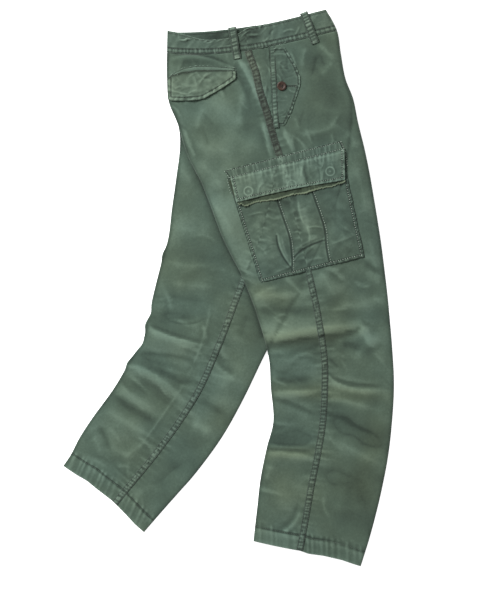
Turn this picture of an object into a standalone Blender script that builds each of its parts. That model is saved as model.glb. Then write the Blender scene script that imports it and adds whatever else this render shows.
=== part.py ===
"""Cargo pants, laid flat on their left side with the left leg swung back.

Metres, +Z up. +Y points to the waist, +X to the front of the garment, and the ground is z = 0.
The four leg pieces are folded sheets. From the ground up the plies are: left leg outer, left leg inner,
right leg inner, right leg outer. Fly and seat are folded in between them.
"""

import math

import bmesh
import bpy
import numpy as np
from mathutils import Matrix

# Driving sizes
CLOTH = 0.0012  # wall of one ply of twill
BAND_WALL = 0.0014  # waistband wall, two plies pressed together
PLY_GAP = 0.0005  # air between two plies that lie on each other
PATCH_GAP = 0.0006  # air under a piece that is sewn on
UNDER_GAP = 0.0009  # the same under each layer of the left cargo pocket
SEAM_GAP = 0.0003  # air between two pieces at a seam
PLY_STEP = CLOTH + PLY_GAP
LEG_HEIGHT = 2 * CLOTH + 2 * PLY_GAP  # two plies, and the air above them
LIFT = 0.0042  # the upper left leg lies this high, on its own pocket, flap and button
LIFT_FROM_Y = -0.250  # below this line the left leg lies on the ground
LIFT_FULL_Y = 0.0
STEP_START = 0.010  # the right leg comes down to the ground past the left leg's front fold
STEP_END = 0.145
BUTTON_RADIUS = 0.0090
BUTTON_THICK = 0.0021
LOOP_WIDTH = 0.0160

# One row for each section of a leg, waist to hem: the back fold, the front fold, the share of the way
# from back to front at which outseam, front pocket slit and inseam lie, the share to which seat and fly
# are folded in, and how far the middle of the section sags towards the hem.
COLUMNS = ("back_x", "back_y", "front_x", "front_y", "outseam", "slit", "inseam", "seat", "fly", "sag")
RIGHT_ROWS = (
    (-0.1195, 0.5010, 0.1885, 0.5418, 0.496, 0.600, 0.60, 0.24, 0.80, 0.0160),
    (-0.1205, 0.4580, 0.2100, 0.5005, 0.477, 0.600, 0.60, 0.24, 0.80, 0.0165),
    (-0.1205, 0.4090, 0.2175, 0.4560, 0.506, 0.595, 0.60, 0.25, 0.79, 0.0100),
    (-0.1170, 0.3630, 0.2260, 0.4090, 0.515, 0.583, 0.60, 0.27, 0.78, 0.0040),
    (-0.0990, 0.3180, 0.2415, 0.3680, 0.505, 0.540, 0.60, 0.33, 0.76, 0.0),
    (-0.0805, 0.2580, 0.2515, 0.3200, 0.507, 0.513, 0.60, 0.44, 0.70, 0.0),
    (-0.0530, 0.2040, 0.2630, 0.2730, 0.498, 0.498, 0.60, 0.60, 0.60, 0.0),
    (-0.0335, 0.1540, 0.2730, 0.2260, 0.490, 0.490, 0.60, 0.60, 0.60, 0.0),
    (-0.0135, 0.1010, 0.2825, 0.1720, 0.480, 0.480, 0.60, 0.60, 0.60, 0.0),
    (0.0090, 0.0550, 0.2915, 0.1190, 0.469, 0.469, 0.60, 0.60, 0.60, 0.0),
    (0.0275, 0.0190, 0.2985, 0.0720, 0.458, 0.458, 0.60, 0.60, 0.60, 0.0),
    (0.0545, -0.0510, 0.3100, -0.0230, 0.452, 0.452, 0.60, 0.60, 0.60, 0.0),
    (0.0770, -0.1310, 0.3195, -0.1350, 0.446, 0.446, 0.60, 0.60, 0.60, 0.0),
    (0.0820, -0.1950, 0.3215, -0.2030, 0.436, 0.436, 0.60, 0.60, 0.60, 0.0),
    (0.0870, -0.2590, 0.3165, -0.2770, 0.415, 0.415, 0.61, 0.61, 0.61, 0.0),
    (0.0740, -0.3120, 0.3095, -0.3330, 0.422, 0.422, 0.61, 0.61, 0.61, 0.0),
    (0.0620, -0.3720, 0.2960, -0.4020, 0.422, 0.422, 0.61, 0.61, 0.61, 0.0),
    (0.0550, -0.4330, 0.2775, -0.4760, 0.423, 0.423, 0.61, 0.61, 0.61, 0.0),
    (0.0485, -0.4920, 0.2570, -0.5420, 0.427, 0.427, 0.61, 0.61, 0.61, 0.0),
)
LEFT_ROWS = (
    (-0.1185, 0.4990, 0.1870, 0.5380, 0.496, 0.600, 0.60, 0.24, 0.80, 0.0100),
    (-0.1195, 0.4560, 0.2080, 0.4975, 0.477, 0.600, 0.60, 0.24, 0.80, 0.0110),
    (-0.1190, 0.4080, 0.2150, 0.4520, 0.506, 0.595, 0.60, 0.25, 0.79, 0.0080),
    (-0.1150, 0.3610, 0.2235, 0.4060, 0.515, 0.583, 0.60, 0.27, 0.78, 0.0040),
    (-0.0980, 0.3140, 0.2375, 0.3630, 0.505, 0.540, 0.60, 0.33, 0.76, 0.0),
    (-0.0955, 0.2710, 0.2360, 0.3000, 0.507, 0.513, 0.60, 0.44, 0.70, 0.0),
    (-0.1030, 0.2110, 0.2260, 0.2380, 0.498, 0.498, 0.59, 0.59, 0.59, 0.0),
    (-0.1110, 0.1540, 0.2105, 0.1740, 0.490, 0.490, 0.59, 0.59, 0.59, 0.0),
    (-0.1180, 0.0975, 0.1870, 0.1070, 0.480, 0.480, 0.59, 0.59, 0.59, 0.0),
    (-0.1325, 0.0450, 0.1580, 0.0450, 0.469, 0.469, 0.59, 0.59, 0.59, 0.0),
    (-0.1460, -0.0080, 0.1290, -0.0180, 0.458, 0.458, 0.59, 0.59, 0.59, 0.0),
    (-0.1560, -0.0530, 0.0995, -0.0740, 0.455, 0.455, 0.60, 0.60, 0.60, 0.0),
    (-0.1660, -0.0960, 0.0680, -0.1330, 0.450, 0.450, 0.61, 0.61, 0.61, 0.0),
    (-0.1960, -0.1480, 0.0270, -0.2180, 0.445, 0.445, 0.63, 0.63, 0.63, 0.0),
    (-0.2250, -0.1970, -0.0140, -0.2910, 0.440, 0.440, 0.62, 0.62, 0.62, 0.0),
    (-0.2650, -0.2520, -0.0620, -0.3570, 0.430, 0.430, 0.62, 0.62, 0.62, 0.0),
    (-0.2905, -0.2910, -0.1030, -0.4040, 0.425, 0.425, 0.62, 0.62, 0.62, 0.0),
    (-0.3060, -0.3220, -0.1410, -0.4470, 0.425, 0.425, 0.61, 0.61, 0.61, 0.0),
    (-0.3215, -0.3450, -0.1645, -0.4740, 0.425, 0.425, 0.61, 0.61, 0.61, 0.0),
)
LEGS = {"right": np.array(RIGHT_ROWS), "left": np.array(LEFT_ROWS)}
COLUMN = {name: index for index, name in enumerate(COLUMNS)}
WAIST_ROW = 1.0  # the waistband is sewn on along this row
SLIT_END_ROW = 5.1  # the front pocket's slit ends here
HEM_ROW = len(RIGHT_ROWS) - 1.0

# The largest folds: from (x, y) to (x, y), half width, height. They stand up from the top ply of the leg.
FOLDS = {
    "right": (
        (0.078, -0.108, 0.250, -0.078, 0.030, 0.0024),
        (0.255, -0.070, 0.300, -0.128, 0.028, 0.0020),
        (0.085, -0.210, 0.215, -0.258, 0.032, 0.0018),
        (0.190, -0.160, 0.275, -0.190, 0.026, 0.0018),
    ),
    "left": (
        (-0.170, -0.125, -0.070, -0.150, 0.028, 0.0022),
        (-0.190, -0.145, -0.085, -0.228, 0.026, 0.0018),
    ),
}

# Sewn-on pieces of the right side, corners as (x, y): top back, top front, bottom front, bottom back.
CARGO_POCKET = ((-0.0045, 0.2175), (0.2185, 0.2740), (0.2645, 0.0600), (0.0605, 0.0090))
CARGO_FLAP = ((-0.0100, 0.2285), (0.2165, 0.2865), (0.2275, 0.2125), (0.0155, 0.1680))
FLAP_UNDERLAY = ((-0.0015, 0.2080), (0.2180, 0.2650), (0.2265, 0.2060), (0.0170, 0.1605))
PLEATS = (0.22, 0.60)  # where the two stitched pleats lie, as shares of the pocket's width
PLEAT_HEIGHT = 0.0012
PLEAT_EDGE = 0.012  # width of a pleat's sharp side, as a share of the pocket's width
PLEAT_BACK = 0.12
# How high the flap's middle surface lies over the panel, at shares of its length from the top.
FLAP_SHARES = (0.0, 0.08, 0.13, 0.22, 0.36, 1.0)
FLAP_HEIGHTS = (0.0012, 0.0014, 0.0032, 0.0055, 0.0071, 0.0071)
UNDERLAY_HEIGHT = 0.0031
FLAP_BUTTONS = ((0.0380, 0.1875), (0.1220, 0.2005), (0.1965, 0.2260))
# The same pocket on the left leg, in rows and shares of that leg.
LEFT_POCKET = ((5.9, 0.16), (5.7, 0.87), (9.3, 0.87), (9.5, 0.10))
LEFT_FLAP = ((5.7, 0.15), (5.5, 0.88), (6.8, 0.88), (7.0, 0.14))

# Back pocket flap: x, top y, bottom y.
BACK_FLAP = (
    (-0.1195, 0.4070, 0.3640),
    (-0.1030, 0.4205, 0.3640),
    (-0.0500, 0.4230, 0.3655),
    (0.0100, 0.4225, 0.4060),
)
# Front pocket facing, the five-sided patch along the slit: y, back x, front x.
FACING = (
    (0.4670, 0.0790, 0.1090),
    (0.4490, 0.0800, 0.1200),
    (0.4310, 0.0810, 0.1305),
    (0.4045, 0.0825, 0.1400),
    (0.3920, 0.0830, 0.1385),
    (0.3450, 0.0850, 0.1230),
    (0.3150, 0.0870, 0.1085),
)
POCKET_BUTTON = (0.1025, 0.3925)
# Belt loops: share along the waistband.
LOOP_SHARES = (("back", 0.41), ("front", 0.865))

OLIVE = (0.105, 0.150, 0.118, 1.0)
OLIVE_DARK = (0.080, 0.118, 0.094, 1.0)
OLIVE_UNDER = (0.060, 0.090, 0.062, 1.0)
HORN = (0.060, 0.042, 0.034, 1.0)

for leftover in list(bpy.data.objects):
    bpy.data.objects.remove(leftover, do_unlink=True)
garment = bpy.data.collections.new("cargo_pants")
bpy.context.scene.collection.children.link(garment)


def make_material(name, colour, roughness):
    material = bpy.data.materials.new(name)
    material.use_nodes = True
    shader = material.node_tree.nodes["Principled BSDF"]
    shader.inputs["Base Color"].default_value = colour
    shader.inputs["Roughness"].default_value = roughness
    shader.inputs["Metallic"].default_value = 0.0
    material.diffuse_color = colour
    return material


def smoothstep(start, end, value):
    share = np.clip((value - start) / (end - start), 0.0, 1.0)
    return share * share * (3.0 - 2.0 * share)


def row_values(side, row):
    """The table's columns at any row, on a smooth curve through the table."""
    table = LEGS[side]
    row = min(max(row, 0.0), len(table) - 1.0)
    first = min(int(row), len(table) - 2)
    t = row - first
    near = table[[max(first - 1, 0), first, first + 1, min(first + 2, len(table) - 1)]]
    start, end = (near[2] - near[0]) / 2, (near[3] - near[1]) / 2
    rise = near[2] - near[1]
    return near[1] + t * (start + t * (3 * rise - 2 * start - end + t * (start + end - 2 * rise)))


def leg_xy(side, row, share):
    """The ground point of a leg at a row and a share of the way from its back fold to its front fold."""
    values = row_values(side, row)
    back, front = values[0:2], values[2:4]
    sag = values[COLUMN["sag"]] * math.sin(math.pi * min(max(share, 0.0), 1.0) ** 0.8)
    return back + (front - back) * share - np.array((0.0, sag))


def left_front_edge():
    """The left leg's front fold as a line of points, run on past the waist and the hem."""
    points = [leg_xy("left", row, 1.0) for row in np.linspace(0.0, HEM_ROW, 25)]
    above = points[0] + (points[0] - points[1]) * 4
    below = points[-1] + (points[-1] - points[-2]) * 8
    return np.array([above, *points, below])


LEFT_FRONT_EDGE = left_front_edge()


def past_left_leg(x, y):
    """How far a point lies past the left leg's front fold. It is negative over the leg."""
    start, end = LEFT_FRONT_EDGE[:-1], LEFT_FRONT_EDGE[1:]
    run = end - start
    from_start = np.array((x, y)) - start
    share = np.clip((from_start * run).sum(axis=1) / (run * run).sum(axis=1), 0.0, 1.0)
    apart = np.hypot(*(from_start - run * share[:, None]).T)
    nearest = int(apart.argmin())
    side = run[nearest, 0] * from_start[nearest, 1] - run[nearest, 1] * from_start[nearest, 0]
    return float(apart[nearest]) * (1.0 if side > 0 else -1.0)


def lift(y):
    return LIFT * smoothstep(LIFT_FROM_Y, LIFT_FULL_Y, y)


def base_height(side, x, y):
    """The height of a leg's underside."""
    if side == "left":
        return lift(y)
    return (lift(y) + LEG_HEIGHT) * (1.0 - smoothstep(STEP_START, STEP_END, past_left_leg(x, y)))


def fold_height(side, x, y):
    """The height that the largest folds add to the top ply."""
    height = 0.0
    for x0, y0, x1, y1, half_width, peak in FOLDS[side]:
        run = np.array((x1 - x0, y1 - y0))
        from_start = np.array((x - x0, y - y0))
        along = from_start @ run / (run @ run)
        across = abs(from_start[0] * run[1] - from_start[1] * run[0]) / np.hypot(*run)
        ends = smoothstep(-0.15, 0.25, along) * (1.0 - smoothstep(0.75, 1.15, along))
        height = max(height, peak * ends * (1.0 - smoothstep(0.0, half_width, across)))
    return height


def ply_height(side, ply, x, y):
    """The middle of a ply: outer is the side worn outwards, inner the side between the legs."""
    base = base_height(side, x, y) + CLOTH / 2
    if (side == "right") == (ply == "outer"):
        return base + PLY_STEP + fold_height(side, x, y)
    return base


def section(side, row, outer_from, outer_to, folds, inner_to):
    """Points of a folded sheet across a leg: along the outer ply, then round a fold, along the inner ply.

    outer_from and outer_to are shares on the outer ply, folds is the share of the fold (0 back, 1 front),
    and inner_to is the share at which the inner ply ends.
    """
    points = []
    for share in np.linspace(outer_from, outer_to, OUTER_COLUMNS):
        x, y = leg_xy(side, row, share)
        points.append((x, y, ply_height(side, "outer", x, y)))
    fold_x, fold_y = leg_xy(side, row, folds)
    values = row_values(side, row)
    out = (values[0:2] - values[2:4]) * (1.0 if folds == 0.0 else -1.0)
    out = out / np.hypot(*out)
    outer_z = ply_height(side, "outer", fold_x, fold_y)
    inner_z = ply_height(side, "inner", fold_x, fold_y)
    for turn in FOLD_TURNS:
        reach = (math.cos(turn) - 1.0) * PLY_STEP / 2
        height = (outer_z + inner_z) / 2 + (outer_z - inner_z) / 2 * math.sin(turn)
        points.append((fold_x + out[0] * reach, fold_y + out[1] * reach, height))
    for share in np.linspace(outer_to, inner_to, INNER_COLUMNS):
        x, y = leg_xy(side, row, share)
        points.append((x, y, ply_height(side, "inner", x, y)))
    return points


OUTER_COLUMNS = 7
INNER_COLUMNS = 7
FOLD_TURNS = tuple(math.radians(turn) for turn in (60, 20, -20, -60))
FOLD_INSET = 0.0022  # the flat plies end this far inside a fold


def add_sheet(name, rows, wall, material):
    """A cloth piece: an open grid of points, given its wall by Solidify."""
    rows = np.array(rows)
    mesh = bpy.data.meshes.new(name)
    shape = bmesh.new()
    grid = [[shape.verts.new(point) for point in row] for row in rows]
    for upper, lower in zip(grid[:-1], grid[1:]):
        for left in range(len(upper) - 1):
            shape.faces.new((upper[left], lower[left], lower[left + 1], upper[left + 1]))
    shape.to_mesh(mesh)
    shape.free()
    mesh.materials.append(material)
    piece = bpy.data.objects.new(name, mesh)
    garment.objects.link(piece)
    solid = piece.modifiers.new("wall", "SOLIDIFY")
    solid.thickness = wall
    solid.offset = 0.0
    return piece


def share_gap(side, row, gap):
    """A gap in metres as a share of the leg's width."""
    values = row_values(side, row)
    return gap / np.hypot(*(values[2:4] - values[0:2]))


def leg_rows():
    """Rows below the waist seam: even down the leg, and closer over the knee."""
    upper = np.linspace(WAIST_ROW + 0.007, 11.0, 11)
    knee = np.linspace(11.8, 15.0, 6)
    lower = np.linspace(16.0, HEM_ROW, 3)
    return np.concatenate((upper, knee, lower))


def add_leg(side, material):
    """Front and back leg pieces, each folded in one from the outseam round to the inseam or centre seam."""
    fronts, backs = [], []
    for row in leg_rows():
        values = dict(zip(COLUMNS, row_values(side, row)))
        half = share_gap(side, row, SEAM_GAP / 2)
        inset = share_gap(side, row, FOLD_INSET)
        slit = values["slit"] if row < SLIT_END_ROW else values["outseam"]
        seat = min(values["seat"], values["inseam"])
        fly = max(values["fly"], values["inseam"])
        fronts.append(section(side, row, slit + half, 1.0 - inset, 1.0, fly + half))
        backs.append(section(side, row, values["outseam"] - half, inset, 0.0, seat - half))
    add_sheet(side + "_front", fronts, CLOTH, material)
    add_sheet(side + "_back", [row[::-1] for row in backs], CLOTH, material)


def add_waistband(side, material):
    """One half of the waistband, folded in at the back to the seat seam and in front to the fly."""
    rows = []
    for row in np.linspace(0.0, WAIST_ROW - 0.007, 3):
        values = dict(zip(COLUMNS, row_values(side, row)))
        inset = share_gap(side, row, FOLD_INSET)
        back = section(side, row, 0.5, inset, 0.0, values["seat"])
        front = section(side, row, 0.5, 1.0 - inset, 1.0, values["fly"])
        rows.append(back[::-1] + front[1:])
    add_sheet("waistband_" + side, rows, BAND_WALL, material)


def add_pocket_bearer(side, material):
    """The hip piece that shows in the front pocket's slit, from the outseam to the slit."""
    rows = []
    for row in [row for row in leg_rows() if row < SLIT_END_ROW]:
        values = dict(zip(COLUMNS, row_values(side, row)))
        half = share_gap(side, row, SEAM_GAP / 2)
        points = []
        for share in np.linspace(values["outseam"] + half, values["slit"] - half, 4):
            x, y = leg_xy(side, row, share)
            points.append((x, y, ply_height(side, "outer", x, y)))
        rows.append(points)
    add_sheet("pocket_bearer_" + side, rows, CLOTH, material)


def over_panel(side, x, y, height):
    """A point this far out from the outer ply's face: up on the right leg, down on the left."""
    outwards = 1.0 if side == "right" else -1.0
    return (x, y, ply_height(side, "outer", x, y) + outwards * (CLOTH / 2 + height))


def patch_rows(corners, across, down, place):
    """A grid between four corners; place(corner point, share across, share down) gives each point."""
    top_back, top_front, bottom_front, bottom_back = (np.array(corner) for corner in corners)
    rows = []
    for v in down:
        start = top_back + (bottom_back - top_back) * v
        end = top_front + (bottom_front - top_front) * v
        rows.append([place(start + (end - start) * u, u, v) for u in across])
    return rows


def pleat_height(u):
    """A pleat is sharp on its back side and runs out flat to the front."""
    height = 0.0
    for pleat in PLEATS:
        rising = smoothstep(pleat - PLEAT_EDGE, pleat, u)
        height += PLEAT_HEIGHT * rising * (1.0 - smoothstep(pleat, pleat + PLEAT_BACK, u))
    return height


def add_cargo_pocket_right(body_material, flap_material, under_material, button_material):
    """Pleated pocket body, flap with a hidden buttoned underlay, and its three buttons."""
    pleat_columns = [share for pleat in PLEATS for share in (pleat - PLEAT_EDGE, pleat, pleat + PLEAT_BACK / 2)]
    across = sorted([*np.linspace(0.0, 1.0, 11), *pleat_columns])

    def body_point(point, u, v):
        under_flap = 1.0 - 0.7 * (1.0 - smoothstep(0.30, 0.45, v))
        return over_panel("right", *point, PATCH_GAP + CLOTH / 2 + pleat_height(u) * under_flap)

    def flap_point(point, u, v):
        return over_panel("right", *point, float(np.interp(v, FLAP_SHARES, FLAP_HEIGHTS)))

    def underlay_point(point, u, v):
        return over_panel("right", *point, UNDERLAY_HEIGHT)

    even = np.linspace(0.0, 1.0, 11)
    body = patch_rows(CARGO_POCKET, across, np.linspace(0.0, 1.0, 9), body_point)
    add_sheet("cargo_pocket_right", body, CLOTH, body_material)
    underlay = patch_rows(FLAP_UNDERLAY, even, np.linspace(0.0, 1.0, 4), underlay_point)
    add_sheet("cargo_flap_underlay_right", underlay, CLOTH, under_material)
    flap = patch_rows(CARGO_FLAP, even, (*FLAP_SHARES[:-1], 0.68, 1.0), flap_point)
    add_sheet("cargo_flap_right", flap, CLOTH, flap_material)
    for number, (x, y) in enumerate(FLAP_BUTTONS, start=1):
        bottom = over_panel("right", x, y, UNDERLAY_HEIGHT + CLOTH / 2 + SEAM_GAP)
        add_button(f"cargo_button_right_{number}", bottom, button_material)


def add_cargo_pocket_left(body_material, flap_material):
    """The same pocket under the left leg, plain, with its flap lying on the ground."""
    across = np.linspace(0.0, 1.0, 8)

    def at_depth(depth):
        return lambda point, u, v: over_panel("left", *leg_xy("left", *point), depth)

    body = patch_rows(LEFT_POCKET, across, np.linspace(0.0, 1.0, 7), at_depth(UNDER_GAP + CLOTH / 2))
    add_sheet("cargo_pocket_left", [row[::-1] for row in body], CLOTH, body_material)
    flap_depth = 2 * UNDER_GAP + 1.5 * CLOTH
    flap = patch_rows(LEFT_FLAP, across, np.linspace(0.0, 1.0, 4), at_depth(flap_depth))
    add_sheet("cargo_flap_left", [row[::-1] for row in flap], CLOTH, flap_material)


def add_button(name, bottom, material):
    """A turned button, flat side down, standing on the given point."""
    bpy.ops.mesh.primitive_cylinder_add(vertices=20, radius=BUTTON_RADIUS, depth=BUTTON_THICK)
    button = bpy.context.object
    button.name = name
    button.data.name = name
    button.data.transform(Matrix.Translation((0.0, 0.0, BUTTON_THICK / 2)))
    button.location = bottom
    button.data.materials.append(material)
    rim = button.modifiers.new("rim", "BEVEL")
    rim.width = BUTTON_THICK / 4
    rim.segments = 1
    rim.limit_method = "ANGLE"
    for collection in list(button.users_collection):
        collection.objects.unlink(button)
    garment.objects.link(button)
    return button


def add_back_flap(side, material):
    """Back pocket flap, from the back fold towards the outseam, its lower corner cut off."""
    rows = []
    for x, top, bottom in BACK_FLAP:
        height = PATCH_GAP + CLOTH / 2
        rows.append([over_panel(side, x, y, height) for y in np.linspace(top, bottom, 4)])
    add_sheet("back_pocket_flap_" + side, rows if side == "right" else rows[::-1], CLOTH, material)


def add_facing(side, material):
    """Five-sided stitched patch along the front pocket's slit, which carries the buttonhole."""
    rows = []
    for y, back, front in FACING:
        height = PATCH_GAP + CLOTH / 2
        rows.append([over_panel(side, x, y, height) for x in np.linspace(back, front, 4)])
    add_sheet("pocket_facing_" + side, rows, CLOTH, material)


def add_belt_loops(side, material):
    """Flat loops sewn across the waistband at its top edge and just below its seam."""
    for place, share in LOOP_SHARES:
        rows = []
        for row in np.linspace(0.06, 1.32, 7):
            middle = leg_xy(side, row, share)
            half = share_gap(side, row, LOOP_WIDTH / 2)
            bulge = 0.0004 * math.sin(math.pi * (row - 0.06) / 1.26)
            height = (BAND_WALL - CLOTH) / 2 + SEAM_GAP + CLOTH / 2 + bulge
            edge = leg_xy(side, row, share + half) - middle
            rows.append([over_panel(side, *(middle + edge * step), height) for step in (-1.0, 0.0, 1.0)])
        add_sheet(f"belt_loop_{place}_{side}", rows, CLOTH, material)


def add_fly(material, button_material):
    """Fly underlap and waist button, folded in between the two sides behind the centre front."""
    rows = []
    for row in np.linspace(0.25, 4.2, 6):
        fly = row_values("left", row)[COLUMN["fly"]]
        points = []
        for share in np.linspace(fly - share_gap("left", row, 0.042), fly - share_gap("left", row, 0.004), 3):
            x, y = leg_xy("left", row, share)
            points.append((x, y, ply_height("left", "outer", x, y) + PLY_STEP - 0.0001))
        rows.append(points)
    add_sheet("fly_underlap", rows, CLOTH, material)
    x, y = leg_xy("left", 0.62, row_values("left", 0.62)[COLUMN["fly"]] - share_gap("left", 0.62, 0.020))
    height = ply_height("left", "outer", x, y) + PLY_STEP - 0.0001 + CLOTH / 2 + SEAM_GAP
    button = add_button("waist_button", (x, y, height), button_material)
    button.scale.z = 0.8


twill = make_material("olive_twill", OLIVE, 0.92)
band_twill = make_material("waistband_twill", OLIVE_DARK, 0.92)
pocket_twill = make_material("pocket_twill", OLIVE, 0.92)
loop_twill = make_material("loop_twill", OLIVE_DARK, 0.92)
under_twill = make_material("unfaded_twill", OLIVE_UNDER, 0.92)
horn = make_material("brown_horn", HORN, 0.45)

for leg_side in ("left", "right"):
    add_leg(leg_side, twill)
    add_waistband(leg_side, band_twill)
    add_pocket_bearer(leg_side, under_twill)
    add_facing(leg_side, pocket_twill)
    add_back_flap(leg_side, pocket_twill)
    add_belt_loops(leg_side, loop_twill)
add_cargo_pocket_left(pocket_twill, pocket_twill)
add_cargo_pocket_right(pocket_twill, pocket_twill, under_twill, horn)
add_fly(under_twill, horn)
facing_top = PATCH_GAP + CLOTH + SEAM_GAP
add_button("pocket_button_right", over_panel("right", *POCKET_BUTTON, facing_top), horn)
left_button = over_panel("left", *POCKET_BUTTON, facing_top + BUTTON_THICK)
add_button("pocket_button_left", left_button, horn)
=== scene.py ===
import math

import bmesh
import bpy
import numpy as np
from mathutils import Matrix, Vector


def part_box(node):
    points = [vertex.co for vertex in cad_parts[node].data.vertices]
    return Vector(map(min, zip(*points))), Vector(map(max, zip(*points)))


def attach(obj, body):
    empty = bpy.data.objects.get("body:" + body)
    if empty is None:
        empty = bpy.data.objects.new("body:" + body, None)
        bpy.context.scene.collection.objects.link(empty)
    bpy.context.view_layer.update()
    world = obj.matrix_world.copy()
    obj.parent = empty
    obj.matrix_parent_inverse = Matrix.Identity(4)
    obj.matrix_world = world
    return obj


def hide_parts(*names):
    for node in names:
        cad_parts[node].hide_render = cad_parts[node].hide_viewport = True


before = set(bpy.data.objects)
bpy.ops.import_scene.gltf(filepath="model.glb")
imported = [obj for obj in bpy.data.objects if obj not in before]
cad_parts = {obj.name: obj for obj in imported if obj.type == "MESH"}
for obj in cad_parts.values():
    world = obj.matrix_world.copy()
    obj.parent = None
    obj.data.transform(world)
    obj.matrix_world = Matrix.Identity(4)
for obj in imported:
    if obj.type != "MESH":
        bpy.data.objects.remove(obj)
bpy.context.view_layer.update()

# Olive cotton cargo pants, laid flat on their left side, the left leg swung back under the right one.
# Metres, +Z up, +Y to the waist, +X to the front of the garment, the ground at z = 0.


# The left leg lies underneath, its inner side up. Front and back pieces are cut from washed cotton twill and
# each is folded in one at its crease, from the outseam round to the inseam, where a lapped seam joins them.

# One row for each section of the leg, waist to hem: back fold, front fold, and the shares of the way from
# back to front of outseam, front pocket slit, inseam, seat fold-in and fly fold-in, then the section's sag.
COLUMNS = ("back_x", "back_y", "front_x", "front_y", "outseam", "slit", "inseam", "seat", "fly", "sag")
LEFT_ROWS = np.array((
    (-0.1185, 0.4990, 0.1870, 0.5380, 0.496, 0.600, 0.60, 0.24, 0.80, 0.0100),
    (-0.1195, 0.4560, 0.2080, 0.4975, 0.477, 0.600, 0.60, 0.24, 0.80, 0.0110),
    (-0.1190, 0.4080, 0.2150, 0.4520, 0.506, 0.595, 0.60, 0.25, 0.79, 0.0080),
    (-0.1150, 0.3610, 0.2235, 0.4060, 0.515, 0.583, 0.60, 0.27, 0.78, 0.0040),
    (-0.0980, 0.3140, 0.2375, 0.3630, 0.505, 0.540, 0.60, 0.33, 0.76, 0.0),
    (-0.0955, 0.2710, 0.2360, 0.3000, 0.507, 0.513, 0.60, 0.44, 0.70, 0.0),
    (-0.1030, 0.2110, 0.2260, 0.2380, 0.498, 0.498, 0.59, 0.59, 0.59, 0.0),
    (-0.1110, 0.1540, 0.2105, 0.1740, 0.490, 0.490, 0.59, 0.59, 0.59, 0.0),
    (-0.1180, 0.0975, 0.1870, 0.1070, 0.480, 0.480, 0.59, 0.59, 0.59, 0.0),
    (-0.1325, 0.0450, 0.1580, 0.0450, 0.469, 0.469, 0.59, 0.59, 0.59, 0.0),
    (-0.1460, -0.0080, 0.1290, -0.0180, 0.458, 0.458, 0.59, 0.59, 0.59, 0.0),
    (-0.1560, -0.0530, 0.0995, -0.0740, 0.455, 0.455, 0.60, 0.60, 0.60, 0.0),
    (-0.1660, -0.0960, 0.0680, -0.1330, 0.450, 0.450, 0.61, 0.61, 0.61, 0.0),
    (-0.1960, -0.1480, 0.0270, -0.2180, 0.445, 0.445, 0.63, 0.63, 0.63, 0.0),
    (-0.2250, -0.1970, -0.0140, -0.2910, 0.440, 0.440, 0.62, 0.62, 0.62, 0.0),
    (-0.2650, -0.2520, -0.0620, -0.3570, 0.430, 0.430, 0.62, 0.62, 0.62, 0.0),
    (-0.2905, -0.2910, -0.1030, -0.4040, 0.425, 0.425, 0.62, 0.62, 0.62, 0.0),
    (-0.3060, -0.3220, -0.1410, -0.4470, 0.425, 0.425, 0.61, 0.61, 0.61, 0.0),
    (-0.3215, -0.3450, -0.1645, -0.4740, 0.425, 0.425, 0.61, 0.61, 0.61, 0.0),
))
WAIST_ROW = 1.0
SLIT_END_ROW = 5.1
HEM_ROW = len(LEFT_ROWS) - 1.0
HEM_DEPTH = 0.030
HEM_ROPES = 0.0115  # usual distance from one rope of the hem to the next
CLOTH = 0.0010
PLY_STEP = 0.0017
LEG_HEIGHT = 0.0034
LIFT = 0.0042
LIFT_FROM_Y = -0.250
SEAM_GAP = 0.0003
FOLD_INSET = 0.0022
PILLOW = 0.0016  # how much the plies stand apart away from a fold
PILLOW_REACH = 0.009

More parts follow.
